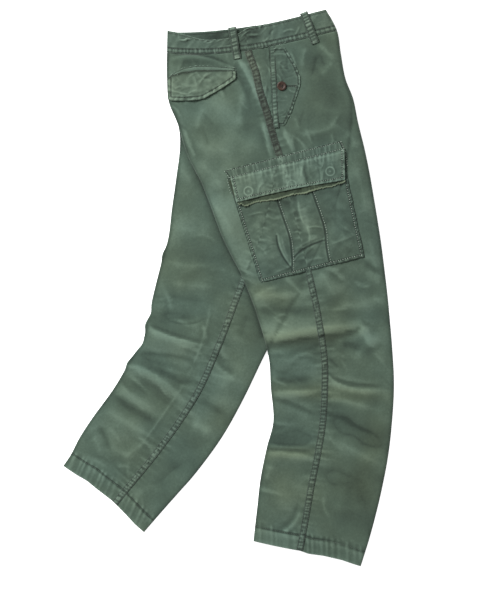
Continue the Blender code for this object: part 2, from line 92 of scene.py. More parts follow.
# Creases of the left leg's inner side: start, middle and end points, height, and the widths of the ridge on
# its left and right hand as it runs. A trough has a negative height.
LEFT_CREASES = (
    (-0.164, -0.077, -0.112, -0.098, -0.052, -0.111, 0.0042, 0.007, 0.022),
    (-0.158, -0.069, -0.105, -0.093, -0.044, -0.107, -0.0016, 0.006, 0.004),
    (-0.140, -0.050, -0.100, -0.056, -0.058, -0.060, -0.0020, 0.014, 0.012),
    (-0.124, -0.060, -0.085, -0.070, -0.046, -0.060, -0.0007, 0.003, 0.003),
    (-0.130, -0.010, -0.092, -0.020, -0.040, -0.026, -0.0016, 0.014, 0.016),
    (-0.125, 0.012, -0.080, 0.006, -0.020, 0.000, 0.0020, 0.022, 0.020),
    (-0.186, -0.127, -0.130, -0.137, -0.052, -0.150, -0.0036, 0.011, 0.016),
    (-0.195, -0.149, -0.143, -0.177, -0.088, -0.221, 0.0056, 0.009, 0.013),
    (-0.150, -0.155, -0.105, -0.176, -0.066, -0.188, -0.0020, 0.010, 0.007),
    (-0.178, -0.176, -0.140, -0.205, -0.100, -0.240, -0.0024, 0.016, 0.018),
    (-0.222, -0.186, -0.185, -0.215, -0.140, -0.246, 0.0022, 0.018, 0.014),
    (-0.232, -0.205, -0.190, -0.235, -0.135, -0.266, -0.0024, 0.010, 0.014),
    (-0.246, -0.236, -0.200, -0.262, -0.150, -0.296, 0.0020, 0.018, 0.018),
    (-0.256, -0.266, -0.240, -0.295, -0.232, -0.322, -0.0020, 0.010, 0.012),
    (-0.270, -0.285, -0.258, -0.300, -0.248, -0.330, 0.0012, 0.014, 0.012),
    (-0.212, -0.339, -0.185, -0.316, -0.154, -0.296, 0.0016, 0.012, 0.012),
    (-0.127, 0.062, -0.084, 0.043, -0.002, 0.051, 0.0018, 0.016, 0.019),
    (-0.115, 0.125, -0.076, 0.112, -0.020, 0.109, 0.0013, 0.023, 0.019),
    (-0.103, 0.269, -0.088, 0.230, -0.064, 0.191, 0.0016, 0.018, 0.018),
    (-0.036, -0.020, -0.050, -0.098, -0.086, -0.183, 0.0005, 0.003, 0.003),
    (-0.080, -0.175, -0.125, -0.242, -0.184, -0.324, 0.0005, 0.003, 0.003),
    (-0.052, -0.070, -0.047, -0.085, -0.044, -0.104, 0.0010, 0.004, 0.004),
    (-0.026, -0.118, -0.010, -0.150, 0.012, -0.176, -0.0020, 0.012, 0.016),
    (-0.040, -0.100, -0.020, -0.120, -0.002, -0.150, 0.0016, 0.014, 0.010),
    (0.018, -0.101, 0.030, -0.074, 0.038, -0.045, -0.0016, 0.016, 0.014),
    (-0.062, -0.210, -0.035, -0.230, -0.006, -0.252, -0.0014, 0.014, 0.014),
    (-0.076, -0.262, -0.052, -0.272, -0.030, -0.290, 0.0016, 0.016, 0.016),
    (-0.150, -0.395, -0.115, -0.360, -0.080, -0.335, -0.0020, 0.014, 0.016),
    (-0.120, -0.420, -0.090, -0.385, -0.060, -0.350, 0.0013, 0.014, 0.012),
)


def smoothstep(start, end, value):
    share = np.clip((value - start) / (end - start), 0.0, 1.0)
    return share * share * (3.0 - 2.0 * share)


def bell(value, width):
    return np.exp(-((value / width) ** 2))


def section_values(table, rows):
    """The table's columns at any rows, on a smooth curve through the table."""
    rows = np.clip(np.asarray(rows, float), 0.0, len(table) - 1.0)
    first = np.minimum(rows.astype(int), len(table) - 2)
    t = (rows - first)[..., None]
    p0, p1 = table[np.maximum(first - 1, 0)], table[first]
    p2, p3 = table[first + 1], table[np.minimum(first + 2, len(table) - 1)]
    start, end, rise = (p2 - p0) / 2, (p3 - p1) / 2, p2 - p1
    values = p1 + t * (start + t * (3 * rise - 2 * start - end + t * (start + end - 2 * rise)))
    return {name: values[..., index] for index, name in enumerate(COLUMNS)}


def leg_xy(table, rows, shares):
    """Ground points of a leg at rows and shares of the way from its back fold to its front fold."""
    at = section_values(table, rows)
    shares = np.asarray(shares, float)
    sag = at["sag"] * np.sin(math.pi * np.clip(shares, 0.0, 1.0) ** 0.8)
    x = at["back_x"] + (at["front_x"] - at["back_x"]) * shares
    y = at["back_y"] + (at["front_y"] - at["back_y"]) * shares - sag
    return x, y


def leg_line(table, share, first=0.0, last=HEM_ROW, count=90):
    """A line along a leg: share is a number, or the name of a column of shares."""
    rows = np.linspace(first, last, count)
    shares = section_values(table, rows)[share] if isinstance(share, str) else np.full(count, share)
    return np.stack(leg_xy(table, rows, shares), axis=1)


def line_distance(x, y, line):
    """Distance to a line of points, the side (+1 on its left hand), and the distance run along it."""
    points = np.stack((np.ravel(x), np.ravel(y)), axis=1)
    start, run = line[:-1], np.diff(line, axis=0)
    length = np.hypot(*run.T)
    offset = points[:, None, :] - start
    share = np.clip((offset * run).sum(-1) / (length**2), 0.0, 1.0)
    apart = np.hypot(*np.moveaxis(offset - share[..., None] * run, -1, 0))
    nearest = apart.argmin(axis=1)
    pick = (np.arange(len(points)), nearest)
    side = np.sign(run[nearest, 0] * offset[pick][:, 1] - run[nearest, 1] * offset[pick][:, 0])
    along = np.concatenate(([0.0], np.cumsum(length)))[nearest] + share[pick] * length[nearest]
    return tuple(value.reshape(np.shape(x)) for value in (apart[pick], side, along))


def curve_points(row, count=14):
    """Points on the curve from a crease's start through its middle to its end."""
    t = np.linspace(0.0, 1.0, count)[:, None]
    start, middle, end = (np.array(row[i:i + 2]) for i in (0, 2, 4))
    return (1 - t) * (1 - 2 * t) * start + 4 * t * (1 - t) * middle + t * (2 * t - 1) * end


def crease_height(x, y, creases):
    """Soft ridges and troughs, each steeper on one side and fading out at its ends."""
    height = np.zeros(np.shape(x))
    for crease in creases:
        line = curve_points(crease)
        peak, left_width, right_width = crease[6:]
        reach = 3.0 * max(left_width, right_width)
        low, high = line.min(axis=0) - reach, line.max(axis=0) + reach
        near = (x > low[0]) & (x < high[0]) & (y > low[1]) & (y < high[1])
        if not near.any():
            continue
        apart, side, along = line_distance(x[near], y[near], line)
        length = np.hypot(*np.diff(line, axis=0).T).sum()
        width = np.where(side > 0, left_width, right_width)
        ends = smoothstep(0.0, 0.3, along / length) * (1.0 - smoothstep(0.65, 1.0, along / length))
        height[near] += peak * (0.15 + 0.85 * ends) * np.exp(-((apart / width) ** 1.45))
    return height


def undulation(x, y, seed, shortest, longest, depth, waves=18):
    """Slow uneven waves of cloth that lies loosely."""
    draw = np.random.default_rng(seed)
    height = np.zeros(np.shape(x))
    for _ in range(waves):
        length = shortest * (longest / shortest) ** draw.random()
        turn, phase = 2 * math.pi * draw.random(2)
        swing = 2 * math.pi * (x * math.cos(turn) + y * math.sin(turn)) / length
        height += (length / longest) * np.sin(swing + phase + 0.6 * np.sin(0.37 * swing + 2 * phase))
    return height * depth / math.sqrt(waves / 2)


def small_creases(x, y, low, high, count, seed, turn, length, height):
    """Short creases of uneven size scattered between two corners, all running roughly one way."""
    draw = np.random.default_rng(seed)
    rows = []
    for _ in range(count):
        middle = draw.uniform(low, high)
        way = math.radians(turn + draw.normal(0.0, 22.0))
        half = length * draw.uniform(0.3, 0.7) * np.array((math.cos(way), math.sin(way)))
        bend = 0.25 * draw.normal() * np.array((-half[1], half[0]))
        width = length * draw.uniform(0.08, 0.17)
        peak = height * draw.uniform(-0.6, 1.0)
        rows.append((*(middle - half), *(middle + bend), *(middle + half), peak, width, 0.6 * width))
    return crease_height(x, y, rows)


def run_length(line):
    return np.hypot(*np.diff(line, axis=0).T).sum()


def even_line(line, step):
    """The same line with its points an even step apart."""
    along = np.concatenate(([0.0], np.cumsum(np.hypot(*np.diff(line, axis=0).T))))
    places = np.linspace(0.0, along[-1], max(int(along[-1] / step), 2) + 1)
    return np.stack([np.interp(places, along, line[:, axis]) for axis in (0, 1)], axis=1)


def beside(line, distance):
    """A line this far to the left hand of another."""
    run = np.gradient(line, axis=0)
    run /= np.hypot(*run.T)[:, None]
    return line + distance * np.stack((-run[:, 1], run[:, 0]), axis=1)


def uneven_ridges(length, pitch, seed):
    """Places along a run and the height there, about -0.4 to 1: ridges of uneven step and size."""
    draw = np.random.default_rng(seed)
    count = int(length / pitch * 1.5) + 8
    middles = np.cumsum(pitch * draw.uniform(0.5, 1.5, count)) - 2 * pitch
    peaks = draw.uniform(0.3, 1.0, count)
    widths = pitch * draw.uniform(0.2, 0.42, count)
    places = np.linspace(0.0, length, int(length / 0.0008) + 2)
    ridges = peaks * bell(places[:, None] - middles, widths)
    return places, ridges.sum(axis=1) - 0.4


def pucker_height(x, y, line, pitch, depth, reach, seed):
    """Short ridges square to a shrunken seam, which die out away from it."""
    apart, side, along = line_distance(x, y, line)
    length = run_length(line)
    left = np.interp(along, *uneven_ridges(length, pitch, seed))
    right = np.interp(along, *uneven_ridges(length, pitch, seed + 1))
    return depth * np.where(side > 0, left, right) * np.exp(-apart / reach)


LEFT_BACK_EDGE = leg_line(LEFT_ROWS, 0.0)
LEFT_FRONT_EDGE = leg_line(LEFT_ROWS, 1.0)
LEFT_INSEAM = leg_line(LEFT_ROWS, "inseam", first=6.0)
LEFT_HEM = np.stack(leg_xy(LEFT_ROWS, HEM_ROW, np.linspace(0.0, 1.0, 12)), axis=1)


def pillow_height(x, y, back_edge, front_edge):
    nearest = np.minimum(line_distance(x, y, back_edge)[0], line_distance(x, y, front_edge)[0])
    return PILLOW * (1.0 - np.exp(-nearest / PILLOW_REACH))


def hem_height(x, y, hem, seed):
    """The turned-up hem: a second ply inside, a pressed stitch line, and uneven slanting ropes along it."""
    apart, _, along = line_distance(x, y, hem)
    ply = 0.0008 * (1.0 - smoothstep(HEM_DEPTH - 0.002, HEM_DEPTH + 0.002, apart))
    groove = -0.0008 * bell(apart - HEM_DEPTH, 0.0028)
    slanted = along + 0.25 * (apart - HEM_DEPTH)
    inside = 1.0 - smoothstep(HEM_DEPTH, HEM_DEPTH + 0.012, apart)
    near_stitches = 0.35 + 0.65 * bell(apart - HEM_DEPTH, 0.009)
    places, ridges = uneven_ridges(run_length(hem), HEM_ROPES, seed)
    return ply + groove + 0.0018 * np.interp(slanted, places, ridges) * inside * near_stitches


def left_relief(x, y):
    """How far the left leg's inner side stands above the pressed plies."""
    height = pillow_height(x, y, LEFT_BACK_EDGE, LEFT_FRONT_EDGE)
    height += crease_height(x, y, LEFT_CREASES)
    height += undulation(x, y, 3, 0.045, 0.16, 0.0008)
    height += small_creases(x, y, (-0.28, -0.38), (0.02, 0.10), 60, 13, -25.0, 0.050, 0.0009)
    height += pucker_height(x, y, LEFT_INSEAM, 0.0125, 0.0013, 0.011, 11)
    height += hem_height(x, y, LEFT_HEM, 4)
    return np.maximum(height, -0.0002)


def lift(y):
    return LIFT * smoothstep(LIFT_FROM_Y, 0.0, y)


def left_ply_z(ply, x, y):
    """Middle of a ply of the left leg: outer, on the ground, or inner, above it."""
    if ply == "inner":
        return lift(y) + CLOTH / 2 + PLY_STEP + left_relief(x, y)
    loose = np.abs(undulation(x, y, 5, 0.05, 0.15, 0.0003))
    return lift(y) + CLOTH / 2 + 0.4 * (np.maximum(crease_height(x, y, LEFT_CREASES), 0.0) + loose)


def nudged(x, y, nudges, reach):
    """Moves points of a fold a little outwards or inwards where a crease runs over it."""
    for nudge_x, nudge_y, push_x, push_y in nudges:
        near = np.exp(-(((x - nudge_x) ** 2 + (y - nudge_y) ** 2) / reach**2))
        x, y = x + push_x * near, y + push_y * near
    return x, y


def folded_grid(table, rows, start, fold, end, ply_z, columns):
    """Point grid of a folded piece: along the outer ply from the start share to the fold, then round it and
    along the inner ply to the end share. The fold is 0 at the back crease and 1 at the front one."""
    at = section_values(table, rows)
    width = np.hypot(at["front_x"] - at["back_x"], at["front_y"] - at["back_y"])
    inset = (FOLD_INSET / width)[:, None]
    turn_share = fold + (inset if fold == 0.0 else -inset)
    outer_columns, inner_columns = columns
    near_edge = 0.0008 / width[:, None] * (1.0 if fold else -1.0)
    steps = np.linspace(0.0, 1.0, outer_columns)
    shares = start[:, None] + (turn_share - start[:, None]) * steps
    shares = np.insert(shares, 1, (start[:, None] + near_edge)[:, 0], axis=1)
    x, y = leg_xy(table, rows[:, None], shares)
    outer = np.stack((x, y, ply_z("outer", x, y)), axis=-1)
    shares = turn_share + (end[:, None] - turn_share) * np.linspace(0.0, 1.0, inner_columns)
    x, y = leg_xy(table, rows[:, None], shares)
    inner = np.stack((x, y, ply_z("inner", x, y)), axis=-1)
    fold_x, fold_y = leg_xy(table, rows, np.full(len(rows), fold))
    away = -1.0 if fold == 0.0 else 1.0
    out_x = away * (at["front_x"] - at["back_x"]) / width
    out_y = away * (at["front_y"] - at["back_y"]) / width
    outer_z, inner_z = outer[:, -1, 2], inner[:, 0, 2]
    turns = []
    for turn in np.radians(np.linspace(75.0, -75.0, 7)):
        reach = (math.cos(turn) - 1.0) * FOLD_INSET
        height = (outer_z + inner_z) / 2 + (outer_z - inner_z) / 2 * math.sin(turn)
        turns.append(np.stack((fold_x + out_x * reach, fold_y + out_y * reach, height), axis=-1))
    return np.concatenate((outer, np.stack(turns, axis=1), inner), axis=1)


def smooth_grid(values, steps):
    for axis in (0, 1):
        count = values.shape[axis]
        for _ in range(steps):
            padded = np.concatenate((values.take([0], axis), values, values.take([-1], axis)), axis)
            values = (padded.take(range(count), axis) + values + padded.take(range(2, count + 2), axis)) / 3
    return values


def patches_sum(x, y, patches):
    """Sum of soft oval patches: middle x and y, half length, half width, turn in degrees, amount."""
    total = np.zeros(np.shape(x))
    for middle_x, middle_y, half_length, half_width, turn, amount in patches:
        c, s = math.cos(math.radians(turn)), math.sin(math.radians(turn))
        along = ((x - middle_x) * c + (y - middle_y) * s) / half_length
        across = ((y - middle_y) * c - (x - middle_x) * s) / half_width
        total += amount * np.exp(-(along**2 + across**2))
    return total


def set_attribute(mesh, name, values, count):
    attribute = mesh.attributes.new(name, "FLOAT", "POINT")
    flat = np.broadcast_to(values, count).astype(np.float32).ravel()
    attribute.data.foreach_set("value", flat)


def add_object(name, data):
    thing = bpy.data.objects.new(name, data)
    bpy.context.scene.collection.objects.link(thing)
    return thing


def cloth_piece(name, grid, material, wall=CLOTH, wear_and_shade=0.0, olive=0.0):
    """A grid of points as a thin shell. Its wear_and_shade value is high on ridges, worn pale and partly
    painted highlight, and low in hollows and grooves, which is painted shade.
    """
    count_down, count_across = grid.shape[:2]
    index = np.arange(count_down * count_across).reshape(count_down, count_across)
    faces = np.stack((index[:-1, :-1], index[1:, :-1], index[1:, 1:], index[:-1, 1:]), axis=-1).reshape(-1, 4)
    mesh = bpy.data.meshes.new(name)
    mesh.from_pydata(grid.reshape(-1, 3).tolist(), [], faces.tolist())
    mesh.shade_smooth()
    down = np.concatenate(([0.0], np.cumsum(np.linalg.norm(np.diff(grid, axis=0), axis=-1).mean(axis=1))))
    across = np.concatenate(([0.0], np.cumsum(np.linalg.norm(np.diff(grid, axis=1), axis=-1).mean(axis=0))))
    flat = np.stack(np.broadcast_arrays(across[None, :], down[:, None]), axis=-1).reshape(-1, 2)
    uv = mesh.uv_layers.new(name="cloth")
    uv.data.foreach_set("uv", flat[faces.reshape(-1)].astype(np.float32).ravel())
    z = grid[..., 2]
    # Lighter on ridges and crowns, darker in hollows, from the local relief: painted shade in the hollows,
    # and on the ridges partly worn pale, partly painted highlight.
    fine = np.clip((z - smooth_grid(z, 3)) / 0.0003, -1.0, 0.8)
    broad = np.clip((z - smooth_grid(z, 30)) / 0.0015, -1.0, 1.0)
    set_attribute(mesh, "wear_and_shade", 0.7 * fine + 0.4 * broad + wear_and_shade, z.shape)
    set_attribute(mesh, "olive", olive, z.shape)
    mesh.materials.append(material)
    piece = add_object(name, mesh)
    solid = piece.modifiers.new("wall", "SOLIDIFY")
    solid.thickness = wall
    solid.offset = 0.0
    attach(piece, "root")
    return piece


def cloth_material(name, deep, ground, faded_and_lit, mottle=1.0, sheen=0.15):
    """Washed twill: from painted shade in the hollows to ridges worn pale and partly painted highlight,
    drifting towards olive, with a fine diagonal weave.
    """
    material = bpy.data.materials.new(name)
    material.use_nodes = True
    nodes, links = material.node_tree.nodes, material.node_tree.links
    shader = nodes["Principled BSDF"]
    shader.inputs["Roughness"].default_value = 0.92
    shader.inputs["Specular IOR Level"].default_value = 0.18
    shader.inputs["Sheen Weight"].default_value = sheen
    shader.inputs["Sheen Roughness"].default_value = 0.55
    place = nodes.new("ShaderNodeTexCoord").outputs["Object"]

    def noise(scale, detail, rough=0.55):
        node = nodes.new("ShaderNodeTexNoise")
        node.inputs["Scale"].default_value = scale
        node.inputs["Detail"].default_value = detail
        node.inputs["Roughness"].default_value = rough
        links.new(place, node.inputs["Vector"])
        return node.outputs["Fac"]

    def sums(operation, *values):
        node = nodes.new("ShaderNodeMath")
        node.operation = operation
        for socket, value in zip(node.inputs, values):
            if isinstance(value, float):
                socket.default_value = value
            else:
                links.new(value, socket)
        return node.outputs["Value"]

    def painted(label):
        node = nodes.new("ShaderNodeAttribute")
        node.attribute_name = label
        return node.outputs["Fac"]

    def mixed(blend, factor, first, second):
        node = nodes.new("ShaderNodeMix")
        node.data_type = "RGBA"
        node.blend_type = blend
        node.clamp_factor = True
        for label, value in (("Factor", factor), ("A", first), ("B", second)):
            if isinstance(value, (float, tuple)):
                node.inputs[label].default_value = value
            else:
                links.new(value, node.inputs[label])
        return node.outputs["Result"]

    # Tone from the wear_and_shade attribute: painted shade towards the dark end, worn pale and painted
    # highlight towards the light end.
    tone = sums("MULTIPLY_ADD", painted("wear_and_shade"), 0.32, 0.5)
    # Mottling from the size of a hand down to single threads: scale, detail, strength.
    mottles = ((7.0, 3.0, 0.26), (38.0, 4.0, 0.34), (210.0, 3.0, 0.30), (1100.0, 1.0, 0.26))
    for scale, detail, weight in mottles:
        spots = sums("MULTIPLY_ADD", noise(scale, detail), weight * mottle, -0.5 * weight * mottle)
        tone = sums("ADD", tone, spots)
    ramp = nodes.new("ShaderNodeValToRGB")
    ramp.color_ramp.interpolation = "LINEAR"
    ramp.color_ramp.elements[0].position = 0.0
    ramp.color_ramp.elements[0].color = (*deep, 1.0)
    ramp.color_ramp.elements.new(0.5).color = (*ground, 1.0)
    ramp.color_ramp.elements[-1].position = 1.0
    ramp.color_ramp.elements[-1].color = (*faded_and_lit, 1.0)
    links.new(tone, ramp.inputs["Fac"])
    drift = sums("ADD", sums("MULTIPLY_ADD", noise(6.5, 2.0), 2.0, -0.70), painted("olive"))
    to_olive = mixed("MULTIPLY", 1.0, ramp.outputs["Color"], OLIVE_TINT)
    to_blue = mixed("MULTIPLY", 1.0, ramp.outputs["Color"], BLUE_TINT)
    links.new(mixed("MIX", drift, to_blue, to_olive), shader.inputs["Base Color"])

    weave_uv = nodes.new("ShaderNodeUVMap")
    weave_uv.uv_map = "cloth"
    turn = nodes.new("ShaderNodeMapping")
    turn.inputs["Rotation"].default_value = (0.0, 0.0, math.radians(62.0))
    links.new(weave_uv.outputs["UV"], turn.inputs["Vector"])
    twill = nodes.new("ShaderNodeTexWave")
    twill.inputs["Scale"].default_value = 320.0
    twill.inputs["Distortion"].default_value = 1.2
    twill.inputs["Detail"].default_value = 1.0
    links.new(turn.outputs["Vector"], twill.inputs["Vector"])
    bumps = ((twill.outputs["Fac"], 0.25, 0.0003), (noise(120.0, 5.0, 0.6), 0.30, 0.0012))
    below = None
    for height, strength, distance in bumps:
        bump = nodes.new("ShaderNodeBump")
        bump.inputs["Strength"].default_value = strength
        bump.inputs["Distance"].default_value = distance
        links.new(height, bump.inputs["Height"])
        if below:
            links.new(below, bump.inputs["Normal"])
        below = bump.outputs["Normal"]
    links.new(below, shader.inputs["Normal"])
    return material


OLIVE_TINT = (1.05, 1.02, 0.84, 1.0)
BLUE_TINT = (0.93, 1.02, 0.98, 1.0)
leg_cloth = cloth_material("leg_cloth", (0.024, 0.037, 0.029), (0.057, 0.084, 0.066), (0.120, 0.166, 0.136))


def hem_waved(table, wave, x, y, direction=1.0):
    """Points near the hem, drawn up along the leg as its edge waves; with -1, back to where they were."""
    hem = np.stack(leg_xy(table, HEM_ROW, np.linspace(0.0, 1.0, 12)), axis=1)
    up = np.subtract(leg_xy(table, HEM_ROW - 1.0, 0.5), leg_xy(table, HEM_ROW, 0.5))
    up = direction * up / np.hypot(*up)
    apart, _, along = line_distance(x, y, hem)
    pull = np.interp(along / run_length(hem), *np.array(wave).T)
    pull = pull * (1.0 - smoothstep(HEM_DEPTH, HEM_DEPTH + 0.040, apart))
    return x + up[0] * pull, y + up[1] * pull


def leg_piece(name, table, panel, ply_z, columns, wave, tone_patches, olives, shadow_line=None, nudges=()):
    """One leg panel, folded at its crease, with the columns of points that each of its two plies gets."""
    rows = np.linspace(WAIST_ROW + 0.007, HEM_ROW, LEG_MESH_ROWS)
    rows = np.insert(rows, -1, HEM_ROW - 0.02)
    at = section_values(table, rows)
    width = np.hypot(at["front_x"] - at["back_x"], at["front_y"] - at["back_y"])
    half = SEAM_GAP / 2 / width
    if panel == "front":
        start = np.where(rows < SLIT_END_ROW, at["slit"], at["outseam"]) + half
        end = np.maximum(at["fly"], at["inseam"]) + half
        grid = folded_grid(table, rows, start, 1.0, end, ply_z, columns)
    else:
        end = np.minimum(at["seat"], at["inseam"]) - half
        grid = folded_grid(table, rows, at["outseam"] - half, 0.0, end, ply_z, columns)[:, ::-1]
    grid[..., 0], grid[..., 1] = nudged(grid[..., 0], grid[..., 1], nudges, 0.012)
    x, y = grid[..., 0].copy(), grid[..., 1].copy()
    grid[..., 0], grid[..., 1] = hem_waved(table, wave, x, y)
    edge = leg_line(table, 0.0 if panel == "back" else 1.0)
    # Painted shade: a dark line along the fold edge, where the fold turns under.
    wear_and_shade = patches_sum(x, y, tone_patches) - 1.5 * np.exp(-line_distance(x, y, edge)[0] / 0.0028)
    hem = leg_xy(table, HEM_ROW, np.linspace(0.0, 1.0, 12))
    hem_apart = line_distance(x, y, np.stack(hem, axis=1))[0]
    wear_and_shade = wear_and_shade + 0.5 * (1.0 - smoothstep(0.020, 0.030, hem_apart)) + 1.0 * np.exp(-hem_apart / 0.0022)
    # Painted shadow: a crisp dark line along the hem's stitch line.
    wear_and_shade = wear_and_shade - 1.8 * bell(hem_apart - HEM_DEPTH, 0.0014)
    wear_and_shade = wear_and_shade + 0.9 * bell(hem_apart - HEM_DEPTH - 0.0026, 0.0014)
    if shadow_line is not None:
        # Painted shadow of the right leg's edge on the left leg.
        wear_and_shade = wear_and_shade - 2.0 * np.exp(-line_distance(x, y, np.array(shadow_line))[0] / 0.006)
    piece = cloth_piece(name + "_cloth", grid, leg_cloth, wear_and_shade=wear_and_shade, olive=0.6 * patches_sum(x, y, olives))
    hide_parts(name)
    return piece


# Shares along the hem from back to front, and how far the edge is drawn up the leg there.
LEFT_WAVE = ((0.0, -0.0030), (0.15, 0.0), (0.26, 0.0040), (0.38, 0.0040), (0.57, 0.0054), (0.65, 0.0042),
             (0.76, 0.0015), (0.88, -0.0018), (1.0, -0.0030))
# Worn pale places and painted shade: middle, half length, half width, turn in degrees, and how far towards
# worn, or towards painted shade below zero.
LEFT_WEAR_AND_SHADE = (
    (-0.235, -0.405, 0.110, 0.016, -38.0, -0.5),
    (-0.262, -0.338, 0.020, 0.006, -30.0, 0.9),
    (-0.176, -0.400, 0.016, 0.010, 50.0, 0.6),
    (-0.100, -0.135, 0.060, 0.020, -12.0, 0.7),
    (-0.125, -0.068, 0.050, 0.012, -20.0, -0.5),
    (-0.120, -0.095, 0.055, 0.018, -20.0, 0.5),
    (-0.165, -0.185, 0.060, 0.012, -40.0, 0.7),
    (0.055, -0.075, 0.030, 0.060, 20.0, -0.7),
    (-0.060, 0.060, 0.060, 0.030, 0.0, -0.4),
    (-0.080, 0.120, 0.050, 0.020, 0.0, 0.3),
    (0.000, -0.165, 0.035, 0.070, -35.0, 0.5),
    (-0.200, -0.290, 0.060, 0.035, -40.0, 0.3),
    (-0.120, -0.340, 0.050, 0.020, -30.0, -0.4),
    (-0.056, -0.257, 0.050, 0.030, -40.0, 0.5),
    (-0.232, -0.296, 0.040, 0.030, -40.0, 0.4),
)
# Places that have turned olive, or green-blue where the last number is below zero.
LEFT_OLIVES = (
    (-0.090, 0.020, 0.060, 0.030, 0.0, 0.5),
    (-0.060, -0.040, 0.050, 0.020, -10.0, -0.6),
    (-0.150, -0.145, 0.060, 0.020, -15.0, -0.8),
    (-0.130, -0.230, 0.080, 0.025, -40.0, 0.4),
    (-0.020, -0.250, 0.030, 0.060, -35.0, 0.6),
    (-0.200, -0.310, 0.050, 0.030, 0.0, 0.3),
)
# Where creases run over the back fold: a point of it, and how far it is pushed.
LEFT_NUDGES = (
    (-0.1630, -0.0710, -0.0045, -0.0010),
    (-0.1960, -0.1420, -0.0050, -0.0020),
    (-0.1270, 0.0660, -0.0030, 0.0),
    (-0.1560, -0.0480, 0.0030, 0.0),
    (-0.1740, -0.1080, 0.0035, 0.0),
)
# Where the right leg's back crease comes down on the left leg; a painted shadow darkens the left leg along
# it.
COVERED_SHADOW_LINE = ((-0.101, 0.320), (-0.053, 0.204), (-0.0335, 0.154), (-0.0135, 0.101), (0.009, 0.055),
                (0.0275, 0.019), (0.0545, -0.051), (0.066, -0.090))
LEG_MESH_ROWS = 315
left_front = leg_piece("left_front", LEFT_ROWS, "front", left_ply_z, (9, 54), LEFT_WAVE,
                       LEFT_WEAR_AND_SHADE, LEFT_OLIVES, COVERED_SHADOW_LINE)
left_back = leg_piece("left_back", LEFT_ROWS, "back", left_ply_z, (9, 60), LEFT_WAVE,
                      LEFT_WEAR_AND_SHADE, LEFT_OLIVES, COVERED_SHADOW_LINE, LEFT_NUDGES)


def left_top(x, y):
    x, y = hem_waved(LEFT_ROWS, LEFT_WAVE, x, y, -1.0)
    return left_ply_z("inner", x, y) + CLOTH / 2


BAND_STEP = 0.0015


def seam_band(name, line, width, surface, seed, material, wear_and_shade=0.0, tone_patches=(), ladder_pitch=0.0062,
              depth=0.0010, outwards=1.0):
    """Lapped seam: a raised strip along a line, shrunk into a ladder of puckers between its stitch rows."""
    line = even_line(line, BAND_STEP)
    run = np.gradient(line, axis=0)
    run /= np.hypot(*run.T)[:, None]
    shares = np.linspace(-1.0, 1.0, 13)
    across = shares * width / 2
    x = line[:, 0, None] - run[:, 1, None] * across
    y = line[:, 1, None] + run[:, 0, None] * across
    along = np.arange(len(line))[:, None] * BAND_STEP + 0.1 * across
    places, ridges = uneven_ridges(run_length(line) + width, ladder_pitch, seed)
    ladder = np.interp(along, places, ridges)
    inside = np.clip(1.0 - (shares / 0.85) ** 4, 0.0, 1.0)
    groove = bell(np.abs(shares) - 0.76, 0.13)
    height = 0.0006 * (1.0 - shares**4) + 1.4 * depth * ladder * inside - 0.0005 * groove
    z = surface(x, y) + outwards * (np.maximum(height, -0.0001) + 0.00015)
    # Pucker ridges worn pale; painted shade in their troughs and in the stitch grooves.
    worn = wear_and_shade + patches_sum(x, y, tone_patches) + 0.6 * ladder * inside - 1.2 * groove
    return cloth_piece(name, np.stack((x, y, z), axis=-1), material, wall=0.0006, wear_and_shade=worn)


def stitch_tree():
    """Thread seen as one small bead for each stitch, along every edge of the piece it is given."""
    tree = bpy.data.node_groups.new("stitch_row", "GeometryNodeTree")
    tree.is_modifier = True
    tree.interface.new_socket("Rows", in_out="INPUT", socket_type="NodeSocketGeometry")
    for label in ("Pitch", "Length", "Radius"):
        tree.interface.new_socket(label, in_out="INPUT", socket_type="NodeSocketFloat")
    tree.interface.new_socket("Thread", in_out="INPUT", socket_type="NodeSocketMaterial")
    tree.interface.new_socket("Stitches", in_out="OUTPUT", socket_type="NodeSocketGeometry")
    nodes, links = tree.nodes, tree.links
    given, result = nodes.new("NodeGroupInput"), nodes.new("NodeGroupOutput")
    to_curve = nodes.new("GeometryNodeMeshToCurve")
    spaced = nodes.new("GeometryNodeCurveToPoints")
    spaced.mode = "LENGTH"
    bead = nodes.new("GeometryNodeMeshUVSphere")
    bead.inputs["Segments"].default_value = 6
    bead.inputs["Rings"].default_value = 4
    half = nodes.new("ShaderNodeMath")
    half.operation = "MULTIPLY"
    half.inputs[1].default_value = 0.5
    size = nodes.new("ShaderNodeCombineXYZ")
    sewn = nodes.new("GeometryNodeInstanceOnPoints")
    real = nodes.new("GeometryNodeRealizeInstances")
    dyed = nodes.new("GeometryNodeSetMaterial")
    links.new(given.outputs["Rows"], to_curve.inputs["Mesh"])
    links.new(to_curve.outputs["Curve"], spaced.inputs["Curve"])
    links.new(given.outputs["Pitch"], spaced.inputs["Length"])
    links.new(given.outputs["Length"], half.inputs[0])
    links.new(given.outputs["Radius"], size.inputs["X"])
    links.new(given.outputs["Radius"], size.inputs["Y"])
    links.new(half.outputs["Value"], size.inputs["Z"])
    links.new(bead.outputs["Mesh"], sewn.inputs["Instance"])
    links.new(spaced.outputs["Points"], sewn.inputs["Points"])
    links.new(spaced.outputs["Rotation"], sewn.inputs["Rotation"])
    links.new(size.outputs["Vector"], sewn.inputs["Scale"])
    links.new(sewn.outputs["Instances"], real.inputs["Geometry"])
    links.new(real.outputs["Geometry"], dyed.inputs["Geometry"])
    links.new(given.outputs["Thread"], dyed.inputs["Material"])
    links.new(dyed.outputs["Geometry"], result.inputs["Stitches"])
    return tree


STITCH_TREE = stitch_tree()


